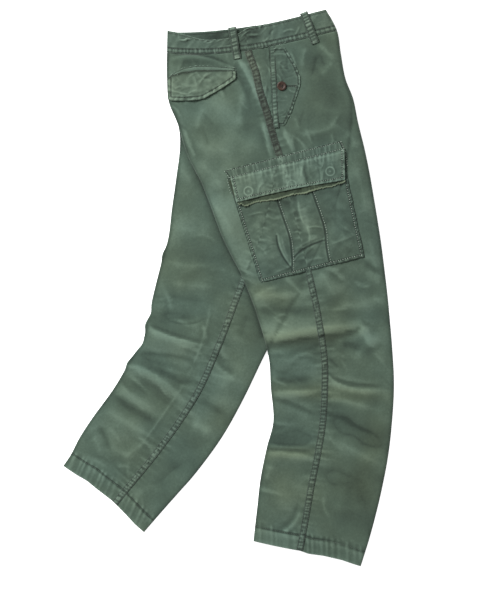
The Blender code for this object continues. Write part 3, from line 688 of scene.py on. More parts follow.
def stitches(name, rows, thread, pitch=0.0034, length=0.0027, radius=0.00038):
    """Sews every row, a line of points with its height, and returns the thread as one mesh."""
    points, edges = [], []
    for row in rows:
        edges += [(len(points) + step, len(points) + step + 1) for step in range(len(row) - 1)]
        points += [tuple(map(float, point)) for point in row]
    guide_mesh = bpy.data.meshes.new(name)
    guide_mesh.from_pydata(points, edges, [])
    guide = add_object(name + "_guide", guide_mesh)
    sewing = guide.modifiers.new("sewing", "NODES")
    sewing.node_group = STITCH_TREE
    values = {"Pitch": pitch, "Length": length, "Radius": radius, "Thread": thread}
    for item in STITCH_TREE.interface.items_tree:
        if item.name in values:
            sewing[item.identifier] = values[item.name]
    graph = bpy.context.evaluated_depsgraph_get()
    mesh = bpy.data.meshes.new_from_object(guide.evaluated_get(graph))
    mesh.name = name
    bpy.data.objects.remove(guide)
    bpy.data.meshes.remove(guide_mesh)
    mesh.shade_smooth()
    thread_piece = add_object(name, mesh)
    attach(thread_piece, "root")
    return thread_piece


def sewn_row(line, surface, height=0.0002, step=0.0017):
    """Points of a stitch row along a line, this far over a surface."""
    line = even_line(line, step)
    return np.column_stack((line, surface(line[:, 0], line[:, 1]) + height))


def grained_material(name, dark, light, light_from, roughness, specular, scale, detail=2.0, distortion=0.0):
    """Two shades of one colour in an uneven grain."""
    material = bpy.data.materials.new(name)
    material.use_nodes = True
    nodes, links = material.node_tree.nodes, material.node_tree.links
    shader = nodes["Principled BSDF"]
    shader.inputs["Roughness"].default_value = roughness
    shader.inputs["Specular IOR Level"].default_value = specular
    place = nodes.new("ShaderNodeTexCoord")
    grain = nodes.new("ShaderNodeTexNoise")
    grain.inputs["Scale"].default_value = scale
    grain.inputs["Detail"].default_value = detail
    grain.inputs["Distortion"].default_value = distortion
    links.new(place.outputs["Object"], grain.inputs["Vector"])
    ramp = nodes.new("ShaderNodeValToRGB")
    ramp.color_ramp.elements[0].position = 0.35
    ramp.color_ramp.elements[0].color = (*dark, 1.0)
    ramp.color_ramp.elements[1].position = light_from
    ramp.color_ramp.elements[1].color = (*light, 1.0)
    links.new(grain.outputs["Fac"], ramp.inputs["Fac"])
    links.new(ramp.outputs["Color"], shader.inputs["Base Color"])
    return material


def thread_material(name, colour):
    dark = [0.55 * part for part in colour]
    return grained_material(name, dark, colour, 0.7, roughness=0.7, specular=0.5, scale=60.0)


worn_thread = thread_material("worn_thread", (0.095, 0.125, 0.100))
SEAM_WIDTH = 0.0130
seam_cloth = cloth_material("seam_cloth", (0.018, 0.027, 0.022), (0.047, 0.068, 0.055), (0.110, 0.150, 0.124))
left_seam_line = leg_line(LEFT_ROWS, "inseam", first=6.2, last=HEM_ROW - 0.02, count=120)
left_seam_line = np.stack(hem_waved(LEFT_ROWS, LEFT_WAVE, *left_seam_line.T), axis=1)
left_inseam_band = seam_band("left_inseam_band", left_seam_line, SEAM_WIDTH, left_top, 21, seam_cloth,
                             wear_and_shade=0.3)
left_rows = [sewn_row(beside(left_seam_line, place), left_top, 0.0005) for place in (-0.0052, 0.0052)]
left_hem_line = even_line(LEFT_HEM, 0.002)
left_hem_up = LEFT_BACK_EDGE[-2] - LEFT_BACK_EDGE[-1]
left_hem_up = left_hem_up / np.hypot(*left_hem_up) * HEM_DEPTH
left_hem_line = np.stack(hem_waved(LEFT_ROWS, LEFT_WAVE, *(left_hem_line + left_hem_up).T), axis=1)
left_rows.append(sewn_row(left_hem_line[2:-2], left_top, 0.0003))
left_stitches = stitches("left_leg_stitches", left_rows, worn_thread)


# The right leg lies on top, its outer side up, and comes down to the ground past the left leg's front crease.
# Same twill, same cut, mirrored; washed pale along the ridges of the knee and the thigh.

RIGHT_ROWS = np.array((
    (-0.1195, 0.5010, 0.1885, 0.5418, 0.496, 0.600, 0.60, 0.24, 0.80, 0.0160),
    (-0.1205, 0.4580, 0.2100, 0.5005, 0.477, 0.600, 0.60, 0.24, 0.80, 0.0165),
    (-0.1205, 0.4090, 0.2175, 0.4560, 0.506, 0.595, 0.60, 0.25, 0.79, 0.0100),
    (-0.1170, 0.3630, 0.2260, 0.4090, 0.515, 0.583, 0.60, 0.27, 0.78, 0.0040),
    (-0.0990, 0.3180, 0.2415, 0.3680, 0.505, 0.540, 0.60, 0.33, 0.76, 0.0),
    (-0.0805, 0.2580, 0.2515, 0.3200, 0.507, 0.513, 0.60, 0.44, 0.70, 0.0),
    (-0.0530, 0.2040, 0.2630, 0.2730, 0.498, 0.498, 0.60, 0.60, 0.60, 0.0),
    (-0.0335, 0.1540, 0.2730, 0.2260, 0.490, 0.490, 0.60, 0.60, 0.60, 0.0),
    (-0.0135, 0.1010, 0.2825, 0.1720, 0.480, 0.480, 0.60, 0.60, 0.60, 0.0),
    (0.0090, 0.0550, 0.2915, 0.1190, 0.469, 0.469, 0.60, 0.60, 0.60, 0.0),
    (0.0275, 0.0190, 0.2985, 0.0720, 0.458, 0.458, 0.60, 0.60, 0.60, 0.0),
    (0.0545, -0.0510, 0.3100, -0.0230, 0.452, 0.452, 0.60, 0.60, 0.60, 0.0),
    (0.0770, -0.1310, 0.3195, -0.1350, 0.446, 0.446, 0.60, 0.60, 0.60, 0.0),
    (0.0820, -0.1950, 0.3215, -0.2030, 0.436, 0.436, 0.60, 0.60, 0.60, 0.0),
    (0.0870, -0.2590, 0.3165, -0.2770, 0.415, 0.415, 0.61, 0.61, 0.61, 0.0),
    (0.0740, -0.3120, 0.3095, -0.3330, 0.422, 0.422, 0.61, 0.61, 0.61, 0.0),
    (0.0620, -0.3720, 0.2960, -0.4020, 0.422, 0.422, 0.61, 0.61, 0.61, 0.0),
    (0.0550, -0.4330, 0.2775, -0.4760, 0.423, 0.423, 0.61, 0.61, 0.61, 0.0),
    (0.0485, -0.4920, 0.2570, -0.5420, 0.427, 0.427, 0.61, 0.61, 0.61, 0.0),
))
STEP_START = 0.010
STEP_END = 0.145
RIGHT_CREASES = (
    (-0.116, 0.4500, -0.058, 0.4530, 0.012, 0.4300, -0.0020, 0.006, 0.003),
    (0.066, -0.098, 0.140, -0.092, 0.250, -0.074, 0.0056, 0.026, 0.008),
    (0.076, -0.112, 0.130, -0.103, 0.182, -0.093, -0.0020, 0.003, 0.006),
    (0.190, -0.092, 0.225, -0.089, 0.262, -0.074, -0.0018, 0.003, 0.008),
    (0.256, -0.068, 0.268, -0.092, 0.286, -0.122, 0.0044, 0.011, 0.012),
    (0.215, -0.105, 0.240, -0.112, 0.262, -0.122, -0.0016, 0.012, 0.012),
    (0.045, -0.040, 0.100, -0.046, 0.170, -0.040, -0.0018, 0.014, 0.012),
    (0.040, -0.008, 0.085, -0.016, 0.145, -0.010, 0.0024, 0.018, 0.014),
    (0.104, 0.028, 0.125, 0.006, 0.152, -0.020, 0.0014, 0.010, 0.008),
    (0.022, 0.040, 0.030, 0.020, 0.048, -0.004, -0.0014, 0.010, 0.010),
    (0.194, -0.136, 0.204, -0.146, 0.216, -0.154, -0.0010, 0.003, 0.004),
    (0.192, -0.163, 0.228, -0.186, 0.298, -0.191, -0.0018, 0.004, 0.003),
    (0.196, -0.172, 0.232, -0.196, 0.300, -0.200, 0.0026, 0.005, 0.016),
    (0.092, -0.136, 0.130, -0.142, 0.172, -0.136, 0.0014, 0.016, 0.014),
    (0.084, -0.176, 0.125, -0.180, 0.172, -0.174, -0.0026, 0.014, 0.012),
    (0.084, -0.205, 0.130, -0.206, 0.180, -0.200, 0.0030, 0.008, 0.010),
    (0.086, -0.216, 0.130, -0.230, 0.172, -0.250, -0.0014, 0.006, 0.008),
    (0.185, -0.212, 0.230, -0.222, 0.290, -0.238, 0.0022, 0.018, 0.016),
    (0.192, -0.246, 0.245, -0.276, 0.308, -0.318, -0.0042, 0.014, 0.018),
    (0.200, -0.292, 0.245, -0.318, 0.296, -0.345, 0.0022, 0.020, 0.018),
    (0.074, -0.296, 0.115, -0.300, 0.170, -0.292, -0.0034, 0.012, 0.008),
    (0.070, -0.312, 0.110, -0.316, 0.165, -0.318, -0.0012, 0.003, 0.004),
    (0.066, -0.322, 0.110, -0.326, 0.175, -0.332, 0.0026, 0.007, 0.020),
    (0.084, -0.340, 0.078, -0.360, 0.070, -0.380, 0.0012, 0.008, 0.008),
    (0.180, -0.360, 0.220, -0.368, 0.280, -0.380, -0.0014, 0.018, 0.020),
    (0.092, -0.470, 0.122, -0.452, 0.136, -0.410, -0.0014, 0.008, 0.010),
    (0.100, -0.478, 0.128, -0.458, 0.142, -0.425, 0.0012, 0.006, 0.006),
    (0.197, -0.420, 0.236, -0.430, 0.272, -0.420, 0.0013, 0.023, 0.019),
    (-0.076, 0.289, -0.033, 0.269, 0.021, 0.269, 0.0014, 0.023, 0.019),
    (-0.066, 0.250, -0.027, 0.214, -0.014, 0.179, 0.0020, 0.019, 0.018),
    (-0.041, 0.172, -0.008, 0.133, 0.014, 0.082, 0.0018, 0.018, 0.018),
    (0.240, 0.250, 0.259, 0.191, 0.267, 0.129, 0.0018, 0.018, 0.023),
    (0.267, 0.117, 0.283, 0.055, 0.294, -0.023, 0.0022, 0.018, 0.019),
    (0.263, 0.051, 0.279, 0.039, 0.298, 0.027, -0.0014, 0.007, 0.008),
    (0.197, 0.039, 0.212, 0.027, 0.228, 0.012, 0.0015, 0.008, 0.005),
    (0.173, 0.039, 0.193, 0.008, 0.209, -0.023, 0.0014, 0.016, 0.016),
    (0.209, -0.023, 0.240, -0.035, 0.287, -0.023, 0.0016, 0.019, 0.019),
    (0.012, 0.450, 0.040, 0.410, 0.062, 0.350, 0.0038, 0.008, 0.006),
    (0.000, 0.440, 0.024, 0.404, 0.044, 0.350, -0.0018, 0.010, 0.008),
    (0.170, 0.476, 0.185, 0.464, 0.209, 0.437, 0.0021, 0.009, 0.009),
    (0.154, 0.472, 0.144, 0.449, 0.144, 0.421, 0.0017, 0.009, 0.009),
    (0.173, 0.460, 0.166, 0.433, 0.160, 0.406, -0.0012, 0.008, 0.008),
    (0.205, 0.445, 0.189, 0.425, 0.173, 0.413, 0.0016, 0.012, 0.010),
    (-0.045, 0.359, -0.057, 0.332, -0.064, 0.300, 0.0014, 0.012, 0.016),
    (0.033, 0.386, 0.021, 0.343, 0.029, 0.304, 0.0018, 0.018, 0.014),
    (0.162, 0.367, 0.197, 0.343, 0.240, 0.343, 0.0014, 0.019, 0.019),
    (0.131, 0.300, 0.173, 0.304, 0.220, 0.320, 0.0020, 0.014, 0.012),
    (0.064, 0.328, 0.074, 0.292, 0.084, 0.250, 0.0030, 0.006, 0.005),
    (0.107, 0.312, 0.115, 0.289, 0.131, 0.262, 0.0026, 0.006, 0.006),
    (0.086, 0.300, 0.094, 0.280, 0.108, 0.258, -0.0012, 0.006, 0.006),
    (0.226, 0.308, 0.240, 0.289, 0.250, 0.265, 0.0016, 0.012, 0.016),
    (-0.115, 0.441, -0.076, 0.449, -0.002, 0.441, 0.0018, 0.008, 0.010),
)
RIGHT_BACK_EDGE = leg_line(RIGHT_ROWS, 0.0)
RIGHT_FRONT_EDGE = leg_line(RIGHT_ROWS, 1.0)
RIGHT_OUTSEAM = leg_line(RIGHT_ROWS, "outseam")
RIGHT_HEM = np.stack(leg_xy(RIGHT_ROWS, HEM_ROW, np.linspace(0.0, 1.0, 12)), axis=1)
LEFT_FRONT_RUN = np.concatenate((
    LEFT_FRONT_EDGE[:1] + (LEFT_FRONT_EDGE[:1] - LEFT_FRONT_EDGE[1:2]) * 20,
    LEFT_FRONT_EDGE,
    LEFT_FRONT_EDGE[-1:] + (LEFT_FRONT_EDGE[-1:] - LEFT_FRONT_EDGE[-2:-1]) * 40,
))


def right_base(x, y):
    """Height of the right leg's underside: over the left leg, then down to the ground in front of it."""
    apart, side, _ = line_distance(x, y, LEFT_FRONT_RUN)
    return (lift(y) + LEG_HEIGHT + left_relief(x, y)) * (1.0 - smoothstep(STEP_START, STEP_END, apart * side))


def right_relief(x, y):
    height = pillow_height(x, y, RIGHT_BACK_EDGE, RIGHT_FRONT_EDGE)
    height += crease_height(x, y, RIGHT_CREASES)
    height += undulation(x, y, 8, 0.045, 0.16, 0.0008)
    height += small_creases(x, y, (0.06, -0.47), (0.31, 0.24), 75, 15, -10.0, 0.050, 0.0009)
    height += small_creases(x, y, (-0.11, 0.27), (0.22, 0.45), 70, 17, 110.0, 0.040, 0.0009)
    height += pucker_height(x, y, RIGHT_OUTSEAM, 0.0125, 0.0013, 0.011, 31)
    height += hem_height(x, y, RIGHT_HEM, 7)
    return np.maximum(height, -0.0002)


def right_ply_z(ply, x, y):
    if ply == "outer":
        return right_base(x, y) + CLOTH / 2 + PLY_STEP + right_relief(x, y)
    loose = np.abs(undulation(x, y, 9, 0.05, 0.15, 0.0003))
    return right_base(x, y) + CLOTH / 2 + 0.4 * (np.maximum(crease_height(x, y, RIGHT_CREASES), 0.0) + loose)


RIGHT_WAVE = ((0.0, -0.0022), (0.20, -0.0015), (0.37, 0.0), (0.43, 0.0010), (0.51, -0.0009), (0.65, 0.0022),
              (0.82, 0.0024), (0.93, 0.0), (1.0, -0.0011))
# Worn pale places and painted shade on the right leg, in the same columns.
RIGHT_WEAR_AND_SHADE = (
    (0.155, -0.505, 0.110, 0.016, -14.0, -0.5),
    (0.180, 0.430, 0.035, 0.060, 15.0, -0.8),
    (-0.068, 0.442, 0.052, 0.010, 0.0, -1.2),
    (-0.010, 0.352, 0.040, 0.035, 0.0, 0.6),
    (0.177, 0.345, 0.045, 0.040, 0.0, -0.7),
    (0.290, 0.030, 0.035, 0.080, 0.0, 0.5),
    (0.275, 0.150, 0.030, 0.060, 0.0, 0.5),
    (0.119, -0.218, 0.045, 0.030, 0.0, 0.6),
    (0.129, -0.125, 0.040, 0.020, 0.0, 0.4),
    (0.236, -0.413, 0.040, 0.030, 0.0, -0.5),
    (0.190, 0.200, 0.060, 0.020, 75.0, -0.3),
    (0.020, 0.350, 0.050, 0.014, 115.0, -0.6),
    (0.005, 0.140, 0.110, 0.045, 110.0, 0.8),
    (0.000, 0.290, 0.060, 0.030, 80.0, 0.3),
    (0.280, 0.090, 0.170, 0.022, 102.0, -0.5),
    (0.235, 0.330, 0.080, 0.025, 105.0, -0.4),
    (0.110, -0.075, 0.060, 0.020, 8.0, 0.7),
    (0.215, -0.060, 0.060, 0.020, 8.0, 0.2),
    (0.130, -0.130, 0.080, 0.018, 8.0, -0.3),
    (0.280, -0.095, 0.045, 0.014, 115.0, 0.8),
    (0.250, -0.265, 0.080, 0.020, -30.0, -0.9),
    (0.260, -0.400, 0.050, 0.090, -10.0, -0.6),
    (0.110, -0.430, 0.040, 0.080, 0.0, 0.4),
    (0.110, -0.295, 0.050, 0.012, 0.0, -0.7),
    (0.200, -0.180, 0.090, 0.016, -12.0, 0.4),
    (0.040, 0.020, 0.040, 0.040, 0.0, 0.3),
    (0.060, 0.030, 0.040, 0.012, 10.0, -0.3),
)
RIGHT_OLIVES = (
    (0.070, -0.010, 0.045, 0.020, -20.0, 1.2),
    (0.170, -0.090, 0.110, 0.014, 6.0, 1.2),
    (0.200, -0.205, 0.120, 0.014, -3.0, 1.3),
    (0.115, -0.322, 0.060, 0.012, 0.0, 1.3),
    (0.275, -0.330, 0.035, 0.100, -10.0, 1.0),
    (0.110, -0.150, 0.060, 0.025, 0.0, -1.2),
    (0.110, -0.290, 0.060, 0.014, 0.0, -1.2),
    (0.260, -0.020, 0.030, 0.080, 0.0, -0.6),
    (-0.060, 0.300, 0.050, 0.050, 0.0, 0.4),
    (0.100, -0.400, 0.050, 0.060, 0.0, 0.6),
    (0.040, 0.400, 0.020, 0.060, 20.0, -0.8),
)
right_front = leg_piece("right_front", RIGHT_ROWS, "front", right_ply_z, (62, 9), RIGHT_WAVE,
                        RIGHT_WEAR_AND_SHADE, RIGHT_OLIVES)
right_back = leg_piece("right_back", RIGHT_ROWS, "back", right_ply_z, (60, 9), RIGHT_WAVE,
                       RIGHT_WEAR_AND_SHADE, RIGHT_OLIVES)


def right_top(x, y):
    x, y = hem_waved(RIGHT_ROWS, RIGHT_WAVE, x, y, -1.0)
    return right_ply_z("outer", x, y) + CLOTH / 2


hip_seam_cloth = cloth_material("hip_seam_cloth", (0.022, 0.026, 0.021), (0.052, 0.066, 0.053),
                                (0.115, 0.148, 0.122))
HIP_SEAM_END = 5.9
hip_seam_line = leg_line(RIGHT_ROWS, "outseam", first=WAIST_ROW + 0.02, last=HIP_SEAM_END)
leg_seam_line = leg_line(RIGHT_ROWS, "outseam", first=HIP_SEAM_END, last=HEM_ROW - 0.02, count=130)
leg_seam_line = np.stack(hem_waved(RIGHT_ROWS, RIGHT_WAVE, *leg_seam_line.T), axis=1)
hip_seam_band = seam_band("right_hip_seam_band", hip_seam_line, 0.0140, right_top, 41, hip_seam_cloth,
                          wear_and_shade=-0.15, tone_patches=((0.084, 0.328, 0.060, 0.030, 100.0, -0.9),))
leg_seam_band = seam_band("right_outseam_band", leg_seam_line, SEAM_WIDTH, right_top, 43, seam_cloth)
right_rows = [sewn_row(beside(leg_seam_line, place), right_top, 0.0005) for place in (-0.0052, 0.0052)]
right_rows += [sewn_row(beside(hip_seam_line, place), right_top, 0.0005) for place in (-0.0057, 0.0057)]
right_hem_up = RIGHT_BACK_EDGE[-2] - RIGHT_BACK_EDGE[-1]
right_hem_up = right_hem_up / np.hypot(*right_hem_up) * HEM_DEPTH
right_hem_line = even_line(RIGHT_HEM, 0.002) + right_hem_up
right_hem_line = np.stack(hem_waved(RIGHT_ROWS, RIGHT_WAVE, *right_hem_line.T), axis=1)
right_rows.append(sewn_row(right_hem_line[2:-2], right_top, 0.0003))
right_stitches = stitches("right_leg_stitches", right_rows, worn_thread)


# The waistband is a double strip of the same twill, one half for each side, sewn on with two rows of stitches
# that have shrunk into a ladder of puckers. Belt loops of folded twill are tacked over it.

BAND_WALL = 0.0012
BAND_ROW_LOW = 0.0020  # the stitch rows, up from the band's lower edge and down from its top edge
BAND_ROW_HIGH = 0.0100
BAND_ROW_TOP = 0.0045
BAND_SAG = 0.0158
waist_cloth = cloth_material("waist_cloth", (0.018, 0.027, 0.022), (0.054, 0.079, 0.064),
                             (0.122, 0.165, 0.137))


def row_line(table, row, count=80):
    return np.stack(leg_xy(table, row, np.linspace(-0.02, 1.02, count)), axis=1)


def band_relief(table, seed):
    """Height of a waistband's face and its wear_and_shade value, from the distances to its lower and top
    edge: puckers lighter on their ridges, painted shade in their troughs and in the stitch grooves, the rims
    worn pale.
    """
    lower, upper = row_line(table, WAIST_ROW - 0.007), row_line(table, 0.0)
    ladder = uneven_ridges(run_length(lower), 0.0066, seed)
    top_ladder = uneven_ridges(run_length(upper), 0.0090, seed + 1)
    broad = uneven_ridges(run_length(upper), 0.0210, seed + 2)

    def relief(x, y):
        up, _, along = line_distance(x, y, lower)
        down, _, _ = line_distance(x, y, upper)
        slanted = along + 0.08 * up
        middle = (BAND_ROW_LOW + BAND_ROW_HIGH) / 2
        between = np.exp(-(((up - middle) / 0.0050) ** 4))
        puckers = np.interp(slanted, *ladder) * between
        near_top = bell(down - BAND_ROW_TOP, 0.0050)
        puckers += 0.5 * np.interp(along - 0.2 * down, *top_ladder) * near_top
        puckers += 0.45 * np.interp(along - 0.5 * up, *broad) * (1.0 - between)
        grooves = bell(up - BAND_ROW_LOW, 0.0014) + bell(up - BAND_ROW_HIGH, 0.0014)
        grooves += 0.6 * bell(down - BAND_ROW_TOP, 0.0010)
        rim = np.exp(-down / 0.0012) + np.exp(-up / 0.0010)
        slack = small_creases(x, y, (-0.12, 0.44), (0.22, 0.54), 130, seed + 3, 35.0, 0.021, 1.7)
        puckers += slack * (1.0 - 0.7 * between)
        return 0.0013 * puckers - 0.0006 * grooves - 0.0004 * rim, 0.45 * puckers - 1.5 * grooves + 0.35 * rim

    return relief


RELIEF = {"right": band_relief(RIGHT_ROWS, 51), "left": band_relief(LEFT_ROWS, 61)}
TABLE = {"right": RIGHT_ROWS, "left": LEFT_ROWS}
PLY_Z = {"right": right_ply_z, "left": left_ply_z}
OUTWARDS = {"right": 1.0, "left": -1.0}  # the right side faces up, the left one lies on the ground


def face(side):
    """The outward face of a side's outer ply."""
    return lambda x, y: PLY_Z[side]("outer", x, y) + OUTWARDS[side] * CLOTH / 2


def band_face(side):
    def surface(x, y):
        share = 0.6 if side == "right" else 0.2
        raised = np.maximum(RELIEF[side](x, y)[0], -0.0003)
        return face(side)(x, y) + OUTWARDS[side] * (0.0002 + share * raised)
    return surface


def band_sag(x):
    """How far the upper band's top edge hangs down at the back, where the inside of the lower one shows."""
    return BAND_SAG * smoothstep(-0.115, -0.035, x) * (1.0 - smoothstep(-0.005, 0.045, x))


def waistband_half(side):
    table = TABLE[side]
    rows = np.linspace(0.0, WAIST_ROW - 0.007, 32)
    rows = np.insert(rows, (1, -1), (0.016, WAIST_ROW - 0.023))
    at = section_values(table, rows)

    def ply_z(ply, x, y):
        height = RELIEF[side](x, y)[0]
        if ply == "outer" and side == "right":
            return PLY_Z[side](ply, x, y) + 0.0002 + height
        return PLY_Z[side](ply, x, y) + 0.25 * np.maximum(height, 0.0)

    middle = np.full(len(rows), 0.5)
    back_end = at["seat"] if side == "right" else np.maximum(at["seat"], 0.56)
    back = folded_grid(table, rows, middle, 0.0, back_end, ply_z, (112, 24))
    front = folded_grid(table, rows, middle, 1.0, at["fly"], ply_z, (112, 12))
    grid = np.concatenate((back[:, ::-1], front[:, 2:]), axis=1)
    wear_and_shade = RELIEF[side](grid[..., 0], grid[..., 1])[1]
    if side == "right":
        # Painted shade in the band's troughs beside the back belt loop.
        dark = ((0.041, 0.493, 0.020, 0.014, 20.0, -1.1), (0.006, 0.482, 0.008, 0.014, 20.0, -0.6))
        wear_and_shade = wear_and_shade + patches_sum(grid[..., 0], grid[..., 1], dark)
        sag = band_sag(grid[..., 0])
        wear_and_shade = wear_and_shade + 1.2 * sag / BAND_SAG * np.exp(-(rows / 0.05) ** 2)[:, None]
        grid[..., 1] -= sag * np.clip(1.0 - rows / 0.7, 0.0, 1.0)[:, None]
    else:
        top = row_line(table, 0.0)
        down = line_distance(grid[..., 0], grid[..., 1], top)[0]
        # Painted shade on the inside of the lower band, where it shows under the sagging upper one.
        wear_and_shade = wear_and_shade - 1.3 * band_sag(grid[..., 0]) / BAND_SAG * smoothstep(0.0010, 0.0040, down)
    piece = cloth_piece(f"waistband_{side}_cloth", grid, waist_cloth, wall=BAND_WALL, wear_and_shade=wear_and_shade)
    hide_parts("waistband_" + side)
    lower, upper = row_line(table, WAIST_ROW - 0.007), row_line(table, 0.0)
    lines = (beside(lower, BAND_ROW_LOW), beside(lower, BAND_ROW_HIGH), beside(upper, -BAND_ROW_TOP))
    if side == "right":
        lines[2][:, 1] -= band_sag(lines[2][:, 0]) * 0.85
    surface = (lambda x, y: ply_z("outer", x, y) + BAND_WALL / 2) if side == "right" else band_face(side)
    rows = [sewn_row(line[3:-3], surface, 0.0001 * OUTWARDS[side]) for line in lines]
    thread = stitches(f"waistband_{side}_stitches", rows, worn_thread)


LOOP_WIDTH = 0.0158
LOOP_RISE = 0.0050  # how far a loop stands over the band's top edge
LOOPS = (("back", 0.41), ("front", 0.865))
loop_cloth = cloth_material("loop_cloth", (0.016, 0.024, 0.020), (0.046, 0.067, 0.054), (0.145, 0.190, 0.158),
                            mottle=1.1)


def belt_loop(side, place, share, seed):
    top, bottom = (np.array(leg_xy(TABLE[side], row, share)) for row in (0.0, 1.32))
    along = (bottom - top) / np.hypot(*(bottom - top))
    line = even_line(np.array((top - along * (LOOP_RISE if side == "right" else 0.0), bottom)), 0.001)
    length = run_length(line)

    def surface(x, y):
        run = np.hypot(x - line[0, 0], y - line[0, 1]) / length
        loose = 0.0013 * np.sin(math.pi * np.clip(run, 0.0, 1.0)) * (1.0 if side == "right" else 0.2)
        return band_face(side)(x, y) + OUTWARDS[side] * (0.0009 + loose)

    ends = [(*line[at], 0.009, 0.005, 0.0, 1.0) for at in (1, -3)]
    name = f"belt_loop_{place}_{side}"
    loop = seam_band(name + "_cloth", line, LOOP_WIDTH, surface, seed, loop_cloth, tone_patches=ends,
                     ladder_pitch=0.0050, depth=0.0009, outwards=OUTWARDS[side])
    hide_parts(name)
    rows = [sewn_row(beside(line, edge), surface, 0.0007 * OUTWARDS[side]) for edge in (-0.0062, 0.0062)]
    across = np.array((-along[1], along[0])) * LOOP_WIDTH * 0.42
    for at in (3, 5, -5, -7):
        bar = np.array((line[at] - across, line[at] + across))
        rows.append(sewn_row(bar, surface, 0.0008 * OUTWARDS[side], step=0.004))
    thread = stitches(name + "_stitches", rows, worn_thread, pitch=0.0026, length=0.0022)


for number, side in enumerate(("left", "right")):
    waistband_half(side)
    for place, share in LOOPS:
        belt_loop(side, place, share, 71 + 2 * number + (place == "front"))


# Front pockets. The hip piece shows in the slanting slit. The front leg's edge there is turned in and
# stitched twice, and a five-sided facing behind it carries a buttonhole and a horn button with four holes.

under_cloth = cloth_material("under_cloth", (0.016, 0.024, 0.017), (0.038, 0.058, 0.042),
                             (0.115, 0.150, 0.116))
pocket_cloth = cloth_material("pocket_cloth", (0.020, 0.031, 0.025), (0.054, 0.080, 0.064),
                              (0.124, 0.170, 0.140))
BEARER_DROP = 0.0005
FACING_EDGE = 0.0042  # topstitching, in from the edge
# One row from top to bottom: y, and the x of the back and front edge.
FACING = np.array((
    (0.4670, 0.0790, 0.1090),
    (0.4490, 0.0800, 0.1200),
    (0.4310, 0.0810, 0.1305),
    (0.4110, 0.0822, 0.1385),
    (0.3960, 0.0828, 0.1395),
    (0.3800, 0.0835, 0.1345),
    (0.3450, 0.0850, 0.1230),
    (0.3150, 0.0870, 0.1085),
))
BUTTONHOLE = ((0.1120, 0.3925), (0.1290, 0.3925))


def edge_stitching(x, y, outline, inset, seed, pitch=0.0072):
    """Height and wear_and_shade value of a turned, topstitched edge: puckers lighter on their ridges, a
    groove at the stitches with painted shade in it, a rolled rim worn pale.
    """
    apart, _, along = line_distance(x, y, outline)
    ladder = np.interp(along + 0.3 * apart, *uneven_ridges(run_length(outline), pitch, seed))
    between = bell(apart - inset * 0.5, inset * 0.75)
    groove = bell(apart - inset, 0.0010)
    rim = np.exp(-apart / 0.0011)
    height = 0.0013 * ladder * between - 0.0006 * groove - 0.0005 * rim
    return height, 0.7 * ladder * between - 1.3 * groove + 0.9 * rim * (0.4 + ladder)


def pocket_bearer(side):
    table = TABLE[side]
    rows = np.linspace(WAIST_ROW + 0.007, SLIT_END_ROW - 0.05, 130)
    at = section_values(table, rows)
    width = np.hypot(at["front_x"] - at["back_x"], at["front_y"] - at["back_y"])
    start, end = at["outseam"] + SEAM_GAP / 2 / width, at["slit"] - SEAM_GAP / 2 / width
    shares = start[:, None] + (end - start)[:, None] * np.linspace(0.0, 1.0, 20)
    x, y = leg_xy(table, rows[:, None], shares)
    z = PLY_Z[side]("outer", x, y) - OUTWARDS[side] * (BEARER_DROP if side == "right" else 0.0)
    if side == "right":
        z = z + small_creases(x, y, (0.03, 0.34), (0.08, 0.46), 22, 89, 100.0, 0.030, 0.0010)
    wear_and_shade = patches_sum(x, y, ((0.060, 0.400, 0.050, 0.006, 105.0, 0.9),
                              (0.075, 0.445, 0.020, 0.006, 100.0, -0.5)))
    piece = cloth_piece(f"pocket_bearer_{side}_cloth", np.stack((x, y, z), axis=-1), pocket_cloth, wear_and_shade=wear_and_shade)
    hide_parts("pocket_bearer_" + side)


